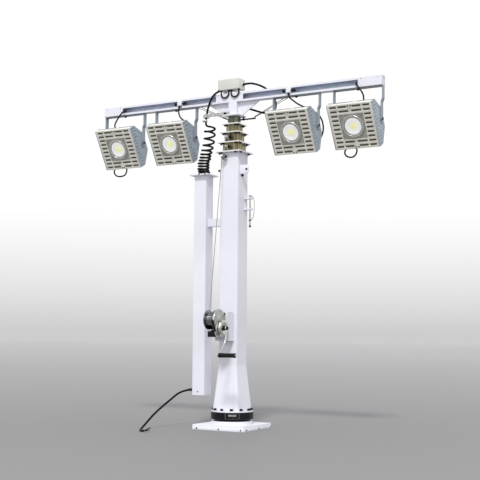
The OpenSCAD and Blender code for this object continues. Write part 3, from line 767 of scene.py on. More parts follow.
def lay_lamp_leads():
    """One lead to each floodlight, down behind it, with a drip loop before it goes in."""
    for n, route in enumerate(LAMP_LEAD_ROUTES, 1):
        line = smooth_line(route, 3)
        lead = sheathed(f"floodlight_lead_{n}", line, SHEATH_D["lead"], SHEATH, 10)
        last = len(line) - 1
        follow_both(lead, line, tuple(line[0]), tuple(line[-1]),
                    lambda i: min(1, max(0, (i / last - 0.35) / 0.6)) ** 1.5)
        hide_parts(f"lamp_lead_{n}")
        leaves = 1 if n in (1, 4) else 0
        tuple(route[leaves])
        round(length_of(line), 3)


lay_mains_cord()
lay_supply_coil()
lay_box_loops()
lay_beam_cable()
lay_lamp_leads()


# ---------- floodlight ----------
# Local frame: the tilt pin on X through the origin, the face along -Y. HALF is half the casting's width.
HALF = 0.141
FACE_Y, BACK_Y = -0.095, 0.035
PLATE_T = 0.004
YOKE_OUT = 0.1525


def slot_cutter(x0, x1, z, high=0.0115):
    """One rounded slot, 6 mm deep in the face; its cutter carries the painted shade finish."""
    cutter = block("slot", (x0, FACE_Y - 0.004, z - high / 2), (x1, FACE_Y + 0.006, z + high / 2), SLOT_SHADE)
    apply_modifier(cutter, "BEVEL", width=0.004, segments=2, limit_method="ANGLE", angle_limit=1)
    return cutter


def in_face(name, radius, low, high, finish, sides=64):
    """A round part in the middle of the face, from low to high behind it."""
    return round_bar(name, radius, (0, FACE_Y + low, 0), (0, FACE_Y + high, 0), finish, sides)


def side_hole(radius, y, z, sides=8):
    """A cutter through the side plate."""
    return round_bar("hole", radius, (HALF - 0.01, y, z), (HALF + 0.01, y, z), SIDE_GREY, sides)


def cast_face():
    """The square front: ten rows of slots around a sunk square, screws in the middle of its edges.
    Its slots, and its sides behind the painted plates, take a dark finish that is painted shade."""
    face = block("face", (-HALF, FACE_Y, -HALF), (HALF, FACE_Y + 0.03, HALF), LAMP_FACE)
    # The second finish is painted shade, for the slots and the sides behind the plates.
    face.data.materials.append(SLOT_SHADE)  # before the cuts, so that the cutters' finish stays in their slots
    cutters = []
    for i in range(10):
        z = HALF - 0.0165 - 0.0274 * i
        cutters += [slot_cutter(-0.127, -0.084, z), slot_cutter(0.084, 0.127, z)]
        if i in (0, 1, 8, 9):
            inner = 0.017 if i in (0, 9) else 0.009
            cutters += [slot_cutter(inner, 0.073, z), slot_cutter(-0.073, -inner, z)]
    cutters.append(block("sink", (-0.077, FACE_Y - 0.004, -0.077), (0.077, FACE_Y + 0.003, 0.077), SLOT_SHADE))
    cut(face, cutters)
    cut(face, [in_face("well", 0.059, -0.004, 0.0115, SLOT_SHADE)])

    # The faces that get painted shade: the sides behind the plates and the slots' floors.
    def in_shadow(part):
        at = part.calc_center_median()
        in_a_slot = FACE_Y + 0.0035 < at.y < FACE_Y + 0.0065 and max(abs(at.x), abs(at.z)) < HALF - 0.004
        return abs(at.x) > HALF - 0.001 or in_a_slot

    paint(face, SLOT_SHADE, in_shadow)
    extras = [soften(face, 0.0012, 2, 50)]
    for x, z in ((-0.008, HALF - 0.012), (0.01, HALF - 0.012), (-0.008, 0.012 - HALF), (0.01, 0.012 - HALF)):
        extras.append(hex_bolt("screw", (x, FACE_Y, z), FRONT, 0.009, 0.0022, washer=False))
    vent = (0.036, FACE_Y + 0.01, HALF - 0.01), (0.036, FACE_Y + 0.026, HALF - 0.01)
    extras.append(rod("vent", 0.021, *vent, LAMP_FACE, 32, 0.003, 3))
    top = (0.05, FACE_Y + 0.018, HALF + 0.003)
    extras.append(hex_bolt("vent_screw", top, UP, 0.01, 0.004, LAMP_BODY, washer=False))
    return merge(extras, "face")


def lens_unit():
    """A pebbled square module with a turned ring, a metallised cup, its LED and the glass over them."""
    half = 0.0765
    module = block("module", (-half, FACE_Y + 0.0005, -half), (half, FACE_Y + 0.012, half), LAMP_MODULE)
    inset(module, facing(y=-1), (0.004, -0.0012))
    soften(cut(module, [in_face("hole", 0.0585, -0.01, 0.0115, LAMP_MODULE)]), 0.0006, 1)
    ring = in_face("ring", 0.069, -0.005, 0.004, TRIM, 72)
    cut(ring, [in_face("bore", 0.059, -0.02, 0.02, TRIM, 72)])
    soften(ring, 0.0024, 4, 30)
    seat = in_face("seat", 0.0588, 0.0035, 0.011, LAMP_MODULE)
    cut(seat, [in_face("bore", 0.0508, 0, 0.02, LAMP_MODULE)])
    cup = in_face("cup", 0.051, -0.001, 0.0105, CUP)
    inset(cup, facing(y=-1), (0.002, 0), (0.024, -0.0085))
    soften(cup, 0, angle=25)
    led = soften(in_face("led", 0.0215, 0.0065, 0.0095, PHOSPHOR, 40), 0.0012, 2)
    deselect()
    bpy.ops.mesh.primitive_uv_sphere_add(segments=56, ring_count=28, radius=0.0605, location=(0, FACE_Y, 0))
    dome = begin("dome", GLASS)
    pick(dome, lambda v: v.co.y > FACE_Y - 0.0002, "VERT")
    bpy.ops.mesh.delete(type="VERT")
    bpy.ops.mesh.select_all(action="SELECT")
    squeeze((0.96, 0.34, 0.96), (0, FACE_Y, 0))
    done()
    apply_modifier(dome, "SOLIDIFY", thickness=0.0035, offset=-1)
    soften(dome, 0, angle=60)
    return merge([ring, module, seat, cup, led], "lens_unit"), dome


def side_plate():
    """The painted plate on one side of the casting, rows of vent holes and a curved tilt slot."""
    plate = block("side_plate", (HALF, FACE_Y, -HALF), (HALF + PLATE_T, FACE_Y + 0.052, HALF), SIDE_GREY)
    draw_out(plate, BACK_Y - FACE_Y - 0.052, (1, 1, 0.42), BACK_Y)
    bevel_edges(plate, lambda e: max(v.co.y for v in e.verts) < FACE_Y + 1e-4 and span(e, 2) < 1e-4, 0.006, 2)
    holes = []
    for row in range(13):
        for column in range(2 if 3 < row < 9 else 3):
            y = FACE_Y + 0.011 + 0.016 * column + (0.008 if row % 2 else 0)
            holes.append(side_hole(0.0052, y, -0.126 + 0.021 * row))
    for turn in (-1, 1):
        holes += [side_hole(0.005, -0.03 + 0.014 * k, turn * (0.1 - 0.016 * k)) for k in range(3)]
    cut(plate, holes)
    for k in range(8):
        a = math.radians(-10 - 9 * k)
        cut(plate, [side_hole(0.0034, -0.029 * math.cos(a), 0.029 * math.sin(a), 12)])
    return soften(plate, 0.0006, 1)


def finned_back():
    """The housing behind the face: a tapered core with twenty-one cooling fins."""
    wide = HALF - 0.002
    core = block("core", (-wide, FACE_Y + 0.029, -wide), (wide, -0.043, wide), LAMP_BODY)
    draw_out(core, 0.05, (0.92, 1, 0.52), 0.007)
    # Painted shade on the core's sides, which sit behind the side plates.
    paint(core, SLOT_SHADE, lambda f: abs(f.normal.x) > 0.9)
    soften(core, 0.002, 2)
    fin = block("fin", (-0.0014, -0.044, 0.003 - HALF), (0.0014, -0.0435, HALF - 0.003), LAMP_BODY)
    draw_out(fin, 0.0775, (0.75, 1, 0.42), 0.034)
    pick(fin, lambda face: True)
    bpy.ops.transform.translate(value=(-0.13, 0, 0))
    done()
    apply_modifier(fin, "ARRAY", count=21, use_relative_offset=False, use_constant_offset=True,
                   constant_offset_displace=(0.013, 0, 0))
    soften(fin, 0.0005, 1)
    spine = soften(block("spine", (-0.132, 0.02, -0.01), (0.132, 0.0345, 0.01), LAMP_BODY), 0.002, 2)
    return merge([core, fin, spine], "finned_back")


def pivot_bolts():
    """The tilt pins' washers and hexagon nuts outside the yoke arms, and the spacers inside them."""
    parts = []
    for side in (-1, 1):
        inner, outer = HALF + PLATE_T - 0.0005, YOKE_OUT - 0.0061
        for name, radius, x0, x1, finish, sides in (
            ("spacer", 0.017, inner, outer, LAMP_BODY, 32),
            ("washer", 0.0125, YOKE_OUT, YOKE_OUT + 0.0016, GALVANISED, 24),
            ("nut", 0.0096, YOKE_OUT + 0.0014, YOKE_OUT + 0.0058, BLACK_BOLT, 6),
        ):
            part = round_bar(name, radius, (side * x0, 0, 0), (side * x1, 0, 0), finish, sides)
            parts.append(soften(part, 0.0008, 1) if name == "nut" else part)
    return merge(parts, "pivot_bolts")


def lead_gland(n):
    """The gland on the housing that the lead goes into: under the outer lamps, behind the inner."""
    if n in (1, 4):
        root, way = Vector((-0.007 if n == 1 else -0.025, -0.0555, -0.1405)), Vector(DOWN)
    else:
        root, way = Vector((0.015 if n == 2 else 0.066, -0.0065, -0.0985)), Vector((0, 0.62, -0.78))
    way.normalize()
    nut = rod("gland", 0.0098, root - way * 0.006, root + way * 0.006, GLAND, 6)
    cap = rod("gland_cap", 0.0078, root + way * 0.005, root + way * 0.0145, GLAND, 20, 0.0025, 3)
    return merge([nut, cap], "gland")


def make_floodlights():
    """One floodlight is made in its local frame, then copied to the beam's four places."""
    plate = side_plate()
    body = merge([cast_face(), finned_back(), plate, mirrored(plate, AXLE), pivot_bolts()], "floodlight")
    unit, dome = lens_unit()
    for n, x in enumerate(LAMP_X, 1):
        place = Matrix.Translation((x, 0, TILT_Z)) @ Matrix.Rotation(LAMP_TILT, 4, "X")
        entry = lead_gland(n)
        entry.data.transform(place)
        lamp = merge([copy_of(body, turn=place), entry], f"floodlight_{n}")
        fit(lamp, f"lamp_{n}", "lamp_casting", f"lamp_{n}")
        fit(copy_of(unit, turn=place, name=f"lens_unit_{n}"), f"lamp_{n}", "lamp_casting")
        fit(copy_of(dome, turn=place, name=f"lens_glass_{n}"), f"lamp_{n}", "lens_glass", f"lens_{n}")
    for pattern in (body, unit, dome):
        drop(pattern)


make_floodlights()


# ---------- base, slewing ring and foot ----------
SLAB_HALF, PEDESTAL_TOP, RING_R, BOLT_CIRCLE = 0.185, 0.05, 0.133, 0.121


def base_slab():
    """The square slab: a wider lower step, true round corners and the round pedestal on top."""
    slab = block("base_slab", (-SLAB_HALF, -SLAB_HALF, 0), (SLAB_HALF, SLAB_HALF, 0.015), WHITE)
    bevel_edges(slab, lambda e: span(e, 2) > 0.01, 0.014, 6)
    pick(slab, facing(z=1))
    bpy.ops.mesh.inset(thickness=0.0022, depth=0)
    push((0, 0, 0.015))
    done()
    soften(slab, 0.0015, 3)
    rim = [(0, 0.0295), (0.13, 0.0295), (0.13, 0.0482), (0.1282, PEDESTAL_TOP), (0, PEDESTAL_TOP)]
    return merge([slab, turned("pedestal", rim, FOOT, UP, WHITE, 96)], "base_slab")


def button_head(name, at, way, radius=0.0052, finish=BLACK_BOLT):
    """A low domed screw head."""
    outline = [(0, -0.001), (radius, -0.001), (radius, 0.0006), (radius * 0.85, 0.0019),
               (radius * 0.5, 0.0028), (0, 0.003)]
    return turned(name, outline, at, way, finish, 16)


def four_ways(piece, count=4):
    """Copies of a piece turned about the mast's axis, joined with it."""
    twins = [copy_of(piece, turn=Matrix.Rotation(2 * math.pi * k / count, 4, "Z")) for k in range(1, count)]
    return merge([piece] + twins, piece.name)


def slewing_ring():
    """The black slewing ring: narrow race below, wide ring above with its seal groove."""
    outline = [(0.082, PEDESTAL_TOP), (0.113, PEDESTAL_TOP), (0.113, 0.0622), (0.1312, 0.062),
               (RING_R, 0.0638), (RING_R, 0.0762), (0.1318, 0.0772), (0.1318, 0.0792), (RING_R, 0.0802),
               (RING_R, 0.1042), (0.1312, 0.106), (0.082, 0.106), (0.082, PEDESTAL_TOP)]
    return turned("slewing_ring", outline, FOOT, UP, BLACK_ENAMEL, 96)


def rating_plate():
    """Bare plates bent around the ring's front: a thin bright edge, its black field, a small bright strip."""
    parts = []
    for sweep, half, out, z, finish in (
        (38, 0.0165, 0.1334, 0, BRIGHT),
        (36.6, 0.0158, 0.1337, 0, BLACK_ENAMEL),
        (21.5, 0.0055, 0.1341, 0.004, BRIGHT),
    ):
        a = math.radians(sweep / 2 - 60)
        low, high, inner = z - half, z + half, 0.1322
        outline = [(inner, low), (out, low), (out, high), (inner, high), (inner, low)]
        start = Vector((math.cos(a), math.sin(a), 0))
        parts.append(turned("rating_plate", outline, (0, 0, 0.0845), UP, finish, 10, sweep, start))
    return merge(parts, "rating_plate")


def make_base():
    heads = merge([button_head("slab_screws", (x, -SLAB_HALF, 0.009), FRONT) for x in (-0.146, 0.01, 0.166)])
    turn = math.radians(-2.6)
    first = BOLT_CIRCLE * math.cos(turn), BOLT_CIRCLE * math.sin(turn), 0.1155
    bolts = hex_bolt("foot_bolts", first, UP, 0.0185, 0.011)
    fit(base_slab(), "base", "white_paint", "base_plate")
    fit(four_ways(heads), "base", "black_ring")
    fit(slewing_ring(), "base", "black_ring", "slew_ring")
    fit(rating_plate(), "base", "bright_steel")
    fit(four_ways(bolts, 12), "column", "black_ring")


make_base()


# ---------- winch ----------
DRUM_AT = Vector((0, -0.21, 0.674))
CRANK_AT = Vector((0, -0.21, 0.622))
GRIP_AT = Vector((0.0835, -0.3035, 0.46))

def beside(at, x):
    """The point a way along the axle from another."""
    return at + Vector((x, 0, 0))


def gear_cover():
    """The pressed egg-shaped gear cover: bright rolled rim, raised middle, three screws above the brake."""
    cover = round_bar("gear_cover", 0.0662, beside(DRUM_AT, 0.0145), beside(DRUM_AT, 0.0256), GEAR_CASE, 72)
    pick(cover, lambda v: v.co.z < DRUM_AT.z - 0.001, "VERT")
    squeeze((1, 0.61, 0.61), DRUM_AT)
    bpy.ops.transform.translate(value=(0, 0, -0.068))
    done()
    paint(cover, TRIM, lambda f: abs(f.normal.x) < 0.3)
    inset(cover, facing(x=1), (0.0035, 0), (0.0016, 0.0022), (0.013, 0), (0.0016, 0.0008))
    parts = [soften(cover, 0.0011, 3, 30)]
    for turn in (-62, 0, 62):
        a = math.radians(turn)
        spot = DRUM_AT + Vector((0.0276, 0.054 * math.sin(a), 0.054 * math.cos(a)))
        parts.append(hex_bolt("cover_screw", spot, AXLE, 0.0085, 0.0032, BRIGHT))
    return merge(parts, "gear_cover")


def rope_drum():
    """The drum on its shaft: two dished discs and ten turns of wire rope between them."""
    outline = [(0, -0.0535), (0.02, -0.0535), (0.023, -0.0518), (0.05, -0.0518), (0.0535, -0.0542),
               (0.06, -0.0542), (0.061, -0.053), (0.061, -0.051), (0.0595, -0.05), (0.0335, -0.05),
               (0.0335, 0.0012), (0.0595, 0.0012), (0.061, 0.002), (0.061, 0.0042), (0.0598, 0.005),
               (0, 0.005)]
    drum = turned("rope_drum", outline, DRUM_AT, AXLE, DRUM_ZINC, 56)
    shaft = round_bar("shaft", 0.008, beside(DRUM_AT, -0.0672), beside(DRUM_AT, -0.05), BRIGHT, 24)
    nut = rod("nut", 0.0118, beside(DRUM_AT, -0.0706), beside(DRUM_AT, -0.0644), BLACK_BOLT, 6, 0.001)
    line = []
    for k in range(9 * 20):
        a = 2 * math.pi * k / 20 + math.pi
        line.append(DRUM_AT + Vector((-0.0472 + 0.005 * k / 20, 0.0355 * math.cos(a), 0.0355 * math.sin(a))))
    return merge([drum, shaft, nut, sheathed("wound_rope", line, 0.0049, WIRE_ROPE, 6)], "rope_drum")


def brake_and_crank():
    """The load brake's discs on the crank shaft, the bent crank arm with its eyes, and the grip's pin."""
    outline = [(0, 0.0105), (0.008, 0.0105), (0.008, 0.0312), (0.05, 0.0312), (0.0535, 0.0325),
               (0.054, 0.034), (0.054, 0.0385), (0.0522, 0.0405), (0.0455, 0.0412), (0.042, 0.0425),
               (0.042, 0.0452), (0.0505, 0.0462), (0.052, 0.0478), (0.052, 0.052), (0.0495, 0.059),
               (0.0475, 0.0612), (0.0455, 0.0618), (0.024, 0.0618), (0.0225, 0.061), (0, 0.061)]
    brake = turned("brake_discs", outline, CRANK_AT, AXLE, BRAKE, 64)
    outline = [(0, 0.06), (0.014, 0.06), (0.014, 0.0705), (0.0125, 0.0728), (0, 0.0728)]
    boss = turned("boss", outline, CRANK_AT, AXLE, BLACK_ENAMEL, 32)
    arm = block("crank_arm", (0.0731, -0.2185, 0.598), (0.0784, -0.2015, 0.626), TRIM)
    pick(arm, facing(z=-1))
    bends = ((-0.0015, -0.022), (-0.006, -0.022), (-0.014, -0.024), (-0.021, -0.026), (-0.025, -0.024),
             (-0.025, -0.02))
    for y, z in bends:
        push((0, y, z))
    done()
    soften(arm, 0.0014, 2)
    eyes = [rod("eye", radius, beside(at, x0), beside(at, x1), TRIM, 32, 0.0012, 2)
            for at, radius, x0, x1 in ((CRANK_AT, 0.014, 0.0729, 0.0786), (GRIP_AT, 0.012, -0.0107, -0.0045))]
    end_nut = hex_bolt("crank_nut", beside(CRANK_AT, 0.0785), AXLE, 0.0175, 0.009)
    tip = rod("tip", 0.005, beside(CRANK_AT, 0.08), beside(CRANK_AT, 0.0905), BRIGHT, 16, 0.001)
    pin = round_bar("pin", 0.0058, beside(GRIP_AT, -0.0112), beside(GRIP_AT, 0.1125), BRIGHT, 20)
    outline = [(0, 0.1098), (0.0075, 0.1098), (0.0075, 0.1116), (0.006, 0.1118), (0.0056, 0.1145),
               (0.004, 0.1156), (0, 0.1158)]
    head = turned("head", outline, GRIP_AT, AXLE, TRIM, 24)
    return merge([brake, boss, arm, *eyes, end_nut, tip, pin, head], "brake_and_crank")


def crank_handle():
    """The grip: a moulded sleeve, waisted, with a rounded collar at each end."""
    outline = [(0.0061, 0), (0.0135, 0), (0.015, 0.0016), (0.015, 0.0062), (0.014, 0.009), (0.0134, 0.03),
               (0.0132, 0.055), (0.0134, 0.08), (0.014, 0.1015), (0.015, 0.1043), (0.015, 0.1088),
               (0.0135, 0.1104), (0.0061, 0.1104), (0.0061, 0)]
    return turned("crank_handle", outline, GRIP_AT, AXLE, GRIP, 40)


def make_winch():
    fit(gear_cover(), "column", "winch_steel")
    fit(rope_drum(), "drum", "winch_steel", "winch_drum")
    fit(brake_and_crank(), "crank", "bright_steel", "crank")
    fit(crank_handle(), "grip", "grip_plastic", "crank_grip")
    spacers = [rod("frame_spacers", 0.0065, (-0.0635, -0.168, z), (0.0105, -0.168, z), BRIGHT, 20)
               for z in (0.612, 0.7)]
    fit(merge(spacers, "frame_spacers"), "column", "winch_steel")


make_winch()


# ---------- column and telescope ----------
PIN_X, PIN_Y = 0.099, 0.034


def sheave(name, radius, width):
    """A grooved rope wheel about the local X axis."""
    half = width / 2
    rim = ((0, -1), (0.94, -1), (1, -0.85), (0.89, -0.4), (0.86, 0), (0.89, 0.4), (1, 0.85), (0.94, 1),
           (0, 1))
    outline = [(radius * far, half * along) for far, along in rim]
    return turned(name, outline, (0, 0, 0), AXLE, DRUM_ZINC, 36)


def rope_guide(name, wheel, radius, low, high, apart):
    """A rope wheel about the place wheel, between two rounded cheeks with corners low and high."""
    sheaf = sheave(name, radius, apart - 0.004)
    sheaf.data.transform(Matrix.Translation(wheel))
    parts = [sheaf]
    for side in (-1, 1):
        x = wheel[0] + side * apart / 2
        cheek = block("cheek", (x - 0.0018, *low), (x + 0.0018, *high), BRIGHT)
        front = low[0] + 0.001
        bevel_edges(cheek, lambda e: span(e, 0) > 0.003 and e.verts[0].co.y < front, 0.01, 4)
        parts.append(soften(cheek, 0.0006, 1))
        parts.append(hex_bolt("axle", (x + side * 0.0018, wheel[1], wheel[2]), (side, 0, 0), 0.0125, 0.0058))
    return merge(parts, name)


def flange_bolts(name, half, under):
    """Eight hexagon heads under a square flange, two along each side."""
    front = [hex_bolt(name, (s * half * 0.58, 0.0115 - half, under), DOWN, 0.0125) for s in (-1, 1)]
    return four_ways(merge(front, name))


def mains_gland():
    """The duct's cable gland: a hexagon nut at the wall and its ribbed dome."""
    ends = (-0.2705, 0, DUCT_GLAND_Z), (-0.2795, 0, DUCT_GLAND_Z)
    nut = rod("duct_gland", 0.0138, *ends, GLAND, 6, 0.0012, 2)
    outline = [(0, -0.0005), (0.0116, -0.0005), (0.0116, 0.006), (0.0108, 0.01), (0.0088, 0.013),
               (0.0068, 0.0138), (0, 0.0138)]
    dome = turned("dome", outline, (-0.279, 0, DUCT_GLAND_Z), (-1, 0, 0), GLAND, 24)
    return merge([nut, dome], "duct_gland")


def pin_clip():
    """The spring clip that keeps the lock pin in: a bent wire from the pin's head to its lower end."""
    bend = [(PIN_X, 1.4625), (0.11, 1.461), (0.122, 1.448), (0.128, 1.42), (0.129, 1.385), (0.127, 1.35),
            (0.12, 1.322), (0.109, 1.309), (PIN_X, 1.306)]
    line = smooth_line([Vector((x, PIN_Y, z)) for x, z in bend], 5)
    clip = sheathed("pin_clip", line, 0.0028, BLACK_BOLT, 8)
    tip = rod("tip", 0.0064, (PIN_X, PIN_Y, 1.2615), (PIN_X, PIN_Y, 1.274), BLACK_BOLT, 16, 0.0012, 2)
    outline = [(0.0061, -0.003), (0.009, -0.003), (0.009, 0.003), (0.0061, 0.003), (0.0061, -0.003)]
    ring = turned("ring", outline, (PIN_X, PIN_Y, 1.306), UP, BLACK_BOLT, 20)
    return merge([clip, tip, ring], "pin_clip")


def guy_lug():
    """The guy lug: a plate with its outer corners rounded off, and a black bolt through its eye."""
    plate = block("guy_lug", (0.0648, -0.042, 1.595), (0.126, -0.034, 1.651), WHITE)
    bevel_edges(plate, lambda e: span(e, 1) > 0.007 and e.verts[0].co.x > 0.12, 0.017, 5)
    soften(plate, 0.0008, 2)
    outline = [(0, -0.0005), (0.0072, -0.0005), (0.0072, 0.0008), (0.0058, 0.001), (0.0058, 0.0048),
               (0.0046, 0.0056), (0, 0.0056)]
    eye = turned("eye", outline, (0.113, -0.042, 1.623), FRONT, BLACK_BOLT, 24)
    return merge([plate, eye, mirrored(eye, (0, 1, 0), (0, -0.038, 0))], "guy_lug")


def cap_screw(name, at, way, proud=0.0016):
    """A socket cap screw with its shank standing proud of a washer."""
    top = proud + 0.0082
    outline = [(0, -0.0005), (0.0098, -0.0005), (0.0098, 0.0016), (0.0045, 0.0016), (0.0045, proud),
               (0.0071, proud + 0.0002), (0.0071, proud + 0.0072), (0.0062, top), (0.0038, top),
               (0.0036, proud + 0.0044), (0, proud + 0.0044)]
    return turned(name, outline, at, way, BLACK_BOLT, 24)


def make_column():
    wheel, low, high = (-0.024, -0.091, 1.703), (-0.1035, 1.689), (-0.0655, 1.717)
    fit(rope_guide("rope_pulley_wheel", wheel, 0.02, low, high, 0.02), "column", "galvanised", "rope_pulley")
    for name, body, y, z, low, high in (
        ("lower_rope_guide", "column", -0.0765, 1.77, (-0.0895, 1.7428), (-0.064, 1.788)),
        ("upper_rope_guide", "stage_2", -0.069, 1.833, (-0.0805, 1.8038), (-0.056, 1.852)),
    ):
        fit(rope_guide(name, (-0.01, y, z), 0.0125, low, high, 0.016), body, "galvanised")
    for body, half, under in (
        ("column", 0.0905, 1.736),
        ("stage_2", 0.081, 1.797),
        ("stage_3", 0.0705, 1.862),
        ("stage_4", 0.0605, 1.918),
    ):
        fit(flange_bolts(f"{body}_flange_bolts", half, under), body, "black_ring")
    guides = [cap_screw("guide_screws", (-0.065, -0.038, 1.625), (-1, 0, 0), 0.02),
              cap_screw("guide_screws", (0.065, -0.012, 1.59), AXLE)]
    fit(merge(guides, "guide_screws"), "column", "black_ring", "guide_bolts")
    fit(mains_gland(), "column", "grip_plastic", "mains_gland")
    fit(guy_lug(), "column", "white_paint", "guy_lug")
    screws = [button_head("duct_screws", at, FRONT, 0.0042)
              for at in ((-0.221, -0.07, 1.608), (-0.176, -0.07, 1.608), (-0.229, -0.045, 0.222))]
    fit(merge(screws, "duct_screws"), "column", "black_ring")
    fit(pin_clip(), "pin", "bright_steel")


make_column()


# ---------- head, junction box and beam ----------
TEE_X, TEE_Y = 0.401, -0.022


def gland(name, root, way, radius, length, nut_finish=GLAND, cap_finish=GLAND):
    """A small cable gland: a hexagon nut, then a rounded cap, on the wall at its root."""
    root, way = Vector(root), Vector(way).normalized()
    nut = rod(name, radius * 1.18, root - way * 0.001, root + way * length * 0.48, nut_finish, 6)
    outline = [(0, length * 0.46), (radius, length * 0.46), (radius, length * 0.78),
               (radius * 0.86, length * 0.95), (radius * 0.7, length), (0, length)]
    return merge([nut, turned("cap", outline, root, way, cap_finish, 20)], name)


def junction_box():
    """A moulded box: a lid on its front with four screws, and its cable glands."""
    x0, x1, z0, z1 = BOX_X - 0.08, BOX_X + 0.08, BOX_Z, BOX_Z + 0.072
    body = block("junction_box", (x0 + 0.001, -0.0245, z0 + 0.001), (x1 - 0.001, 0.04, z1 - 0.001), BOX)
    lid = block("lid", (x0, -0.04, z0), (x1, -0.0252, z1), BOX)
    parts = [soften(body, 0.004, 3), soften(lid, 0.0045, 4)]
    for x in (x0 + 0.0095, x1 - 0.0095):
        for z in (z0 + 0.0095, z1 - 0.0095):
            parts.append(button_head("lid_screw", (x, -0.04, z), FRONT, 0.0046, BOX))
    for x in LOOP_X.values():
        for side in (-0.028, 0.028):
            parts.append(gland("loop_gland", (x + side, LOOP_Y, z0), DOWN, 0.007, 0.008))
    tilt = math.radians(115.5)
    to_arm = -math.sin(tilt), 0, math.cos(tilt)
    parts.append(gland("arm_gland", (x0 + 0.009, -0.032, z0 + 0.0005), to_arm, 0.008, 0.0155))
    parts.append(gland("beam_gland", (x1 - 0.001, 0, z0 + 0.032), AXLE, 0.0096, 0.015, BOX, GLAND))
    return merge(parts, "junction_box")


def tee_connector():
    """A tee connector on the channel's open front: white body, a black gland each way and one below."""
    body = soften(block("tee_connector", (-0.016, -0.038, 2.08), (0.016, -0.004, 2.112), TEE), 0.0032, 3)
    lid = soften(block("tee_lid", (-0.0125, -0.0392, 2.0835), (0.0125, -0.0375, 2.1085), TEE), 0.0007, 1)
    parts = [body, lid, gland("lead_exit", (0.002, -0.032, 2.0805), DOWN, 0.006, 0.006)]
    for side in (-1, 1):
        for name, radius, x0, x1, sides, segments in (("nut", 0.0088, 0.0155, 0.0225, 6, 1),
                                                      ("barrel", 0.0066, 0.022, 0.0365, 20, 2)):
            ends = (side * x0, TEE_Y, CHANNEL_Z), (side * x1, TEE_Y, CHANNEL_Z)
            parts.append(rod(name, radius, *ends, GLAND, sides, segments=segments))
        outline = [(0, 0.0355), (0.0102, 0.0355), (0.0102, 0.0405), (0.0088, 0.0425), (0, 0.043)]
        parts.append(turned("collar", outline, (0, TEE_Y, CHANNEL_Z), (side, 0, 0), GLAND, 24))
    return merge(parts, "tee_connector")


def cord_clamps():
    """Two small clamps that hold the coiled cord at the end of its arm, each with its screws."""
    parts = []
    outline = [(0.0067, -0.0045), (0.0108, -0.0045), (0.0114, -0.003), (0.0114, 0.003), (0.0108, 0.0045),
               (0.0067, 0.0045), (0.0067, -0.0045)]
    for at, way in (((-0.2008, -0.0178, 1.999), (0.42, -0.4, 0.9)), ((-0.2064, -0.015, 1.964), (0, 0.1, 1))):
        x, y, z = at
        front, back = y - 0.0035, y + 0.0035
        ears = block("ears", (x - 0.025, front, z - 0.0045), (x - 0.01, back, z + 0.0045), BRIGHT)
        parts += [turned("cord_clamps", outline, at, way, BRIGHT, 24), soften(ears, 0.001, 1),
                  hex_bolt("clamp_screw", (x - 0.019, front, z), FRONT, 0.0085, 0.0042, BRIGHT),
                  hex_bolt("clamp_nut", (x - 0.019, back, z), (0, 1, 0), 0.0085, 0.0042)]
    return merge(parts, "cord_clamps")


def stay_crimps():
    """Two crimped sleeves on each stay wire, beside the hook rod."""
    parts = []
    for x0, x1 in ((0.124, 0.376), (0.116, 0.346), (-0.07, -0.285), (-0.062, -0.258)):
        low, high = Vector((x0, 0.042, 1.9682)), Vector((x1, 0.02, 2.064))
        half = (high - low).normalized() * 0.006
        for share in (0.07, 0.16):
            spot = low.lerp(high, share)
            parts.append(rod("stay_crimps", 0.0037, spot - half, spot + half, DRUM_ZINC, 12))
    return merge(parts, "stay_crimps")


def make_head():
    fit(junction_box(), "head", "box_plastic", "junction_box")
    tee = tee_connector()
    tees = merge([copy_of(tee, move=(x, 0, 0)) for x in (-TEE_X, TEE_X)], "tee_connectors")
    drop(tee)
    fit(tees, "head", "box_plastic", "tee_blocks")
    fit(cord_clamps(), "head", "bright_steel")
    fit(stay_crimps(), "head", "bright_steel")
    under = [hex_bolt("yoke_bolts", (x, -0.004, 2.0602), DOWN, 0.015) for x in LAMP_X]
    under.append(hex_bolt("arm_bolt", (-0.052, -0.034, 1.9935), FRONT, 0.0135, 0.0065))
    fit(merge(under, "yoke_bolts"), "head", "black_ring")
    screws = [button_head("cover_screws", (x, -0.0268, 2.1175), FRONT, 0.0034, GALVANISED)
              for x in (-0.995, -0.885, -0.105, 0.055, 0.885, 0.995)]
    fit(merge(screws, "cover_screws"), "head", "bright_steel")


make_head()


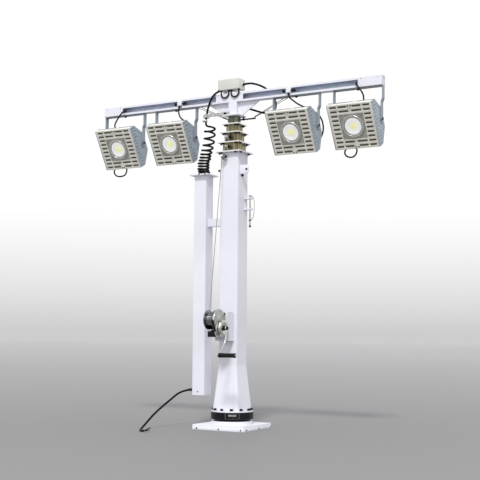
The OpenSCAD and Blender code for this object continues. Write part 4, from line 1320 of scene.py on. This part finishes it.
# ---------- finishes of the pieces kept from the frame ----------
dress(WHITE, "outer_tube", "mast_foot", "cable_duct", "duct_bracket", "winch_bracket", "pin_holder",
      "head_bracket", "beam_cover_left", "beam_cover_middle", "beam_cover_right", "box_bracket")
dress(BEAM, "cross_beam")
dress(GALVANISED, "cable_arm")
dress(BLACK_ENAMEL, "stay_hook", "winch_frame")
dress(STAY_WIRE, "stay_wires")
dress(WIRE_ROPE, "winch_rope")
dress(BRIGHT, "lock_pin")
dress(YOKE_GREY, "yoke_1", "yoke_2", "yoke_3", "yoke_4")
for node, half_width, low, high in (
    ("stage_2", 0.0555, "#433f2e", "#bdb28a"),
    ("stage_3", 0.048, "#3f3b2b", "#b9ae86"),
    ("stage_4", 0.04, "#423f30", "#b4aa85"),
    ("stage_5", 0.03, "#2f332c", "#868a78"),
):
    dress(passivated_tube(f"{node}_passivated_zinc", half_width, low, high), node)


# ---------- studio ----------
FLOOR_R = 60


def studio_paper(name):
    """Matt seamless paper: plain grey underfoot that pales away from the mast, to meet the sky's foot."""
    material, tree, shader, place = new_finish(name, Roughness=0.6, Specular_IOR_Level=0.04)
    away = add(tree, "ShaderNodeVectorMath", {0: place}, operation="LENGTH")["Value"]
    reach = add(tree, "ShaderNodeMapRange", {"From Max": FLOOR_R, "Value": away})["Result"]
    steps = ((0, 0.258), (0.023, 0.281), (0.068, 0.314), (0.13, 0.342), (0.177, 0.36), (0.333, 0.408),
             (0.667, 0.44), (1, 0.474))
    greys = tones_along(tree, reach, *((far, (g, 0.984 * g, 0.962 * g)) for far, g in steps))
    tree.links.new(greys, shader.inputs["Base Color"])
    return material


def studio_sky():
    """An even white sky that greys to the floor's tone at its foot and is a cooler, dimmer white overhead."""
    world = bpy.data.worlds.new("studio_sky")
    bpy.context.scene.world = world
    world.use_nodes = True
    tree = world.node_tree
    way = add(tree, "ShaderNodeTexCoord")["Generated"]
    rise = add(tree, "ShaderNodeSeparateXYZ", {"Vector": way})["Z"]
    steps = ((0, 0.61), (0.0117, 0.66), (0.0408, 0.785), (0.0715, 0.885), (0.0889, 0.94), (0.127, 1.03),
             (0.45, 1.03), (0.7, (0.5, 0.53, 0.61)))
    tones = tones_along(tree, rise, *steps)
    tree.links.new(tones, tree.nodes["Background"].inputs["Color"])


def build_studio():
    """A wide round sheet of grey paper, the sky over it and one soft sun from the upper front."""
    outline = [(radius, 0) for radius in (0, 2, 8, 20, FLOOR_R)]
    turned("studio_floor", outline, FOOT, UP, studio_paper("seamless_paper"), 96)
    studio_sky()
    deselect()
    bpy.ops.object.light_add(type="SUN", rotation=(math.radians(40), 0, math.radians(22)))
    sun = bpy.context.object
    sun.name, sun.data.energy, sun.data.angle = "key_light", 2.3, 0.16


build_studio()
bpy.context.scene.view_settings.view_transform = "Standard"
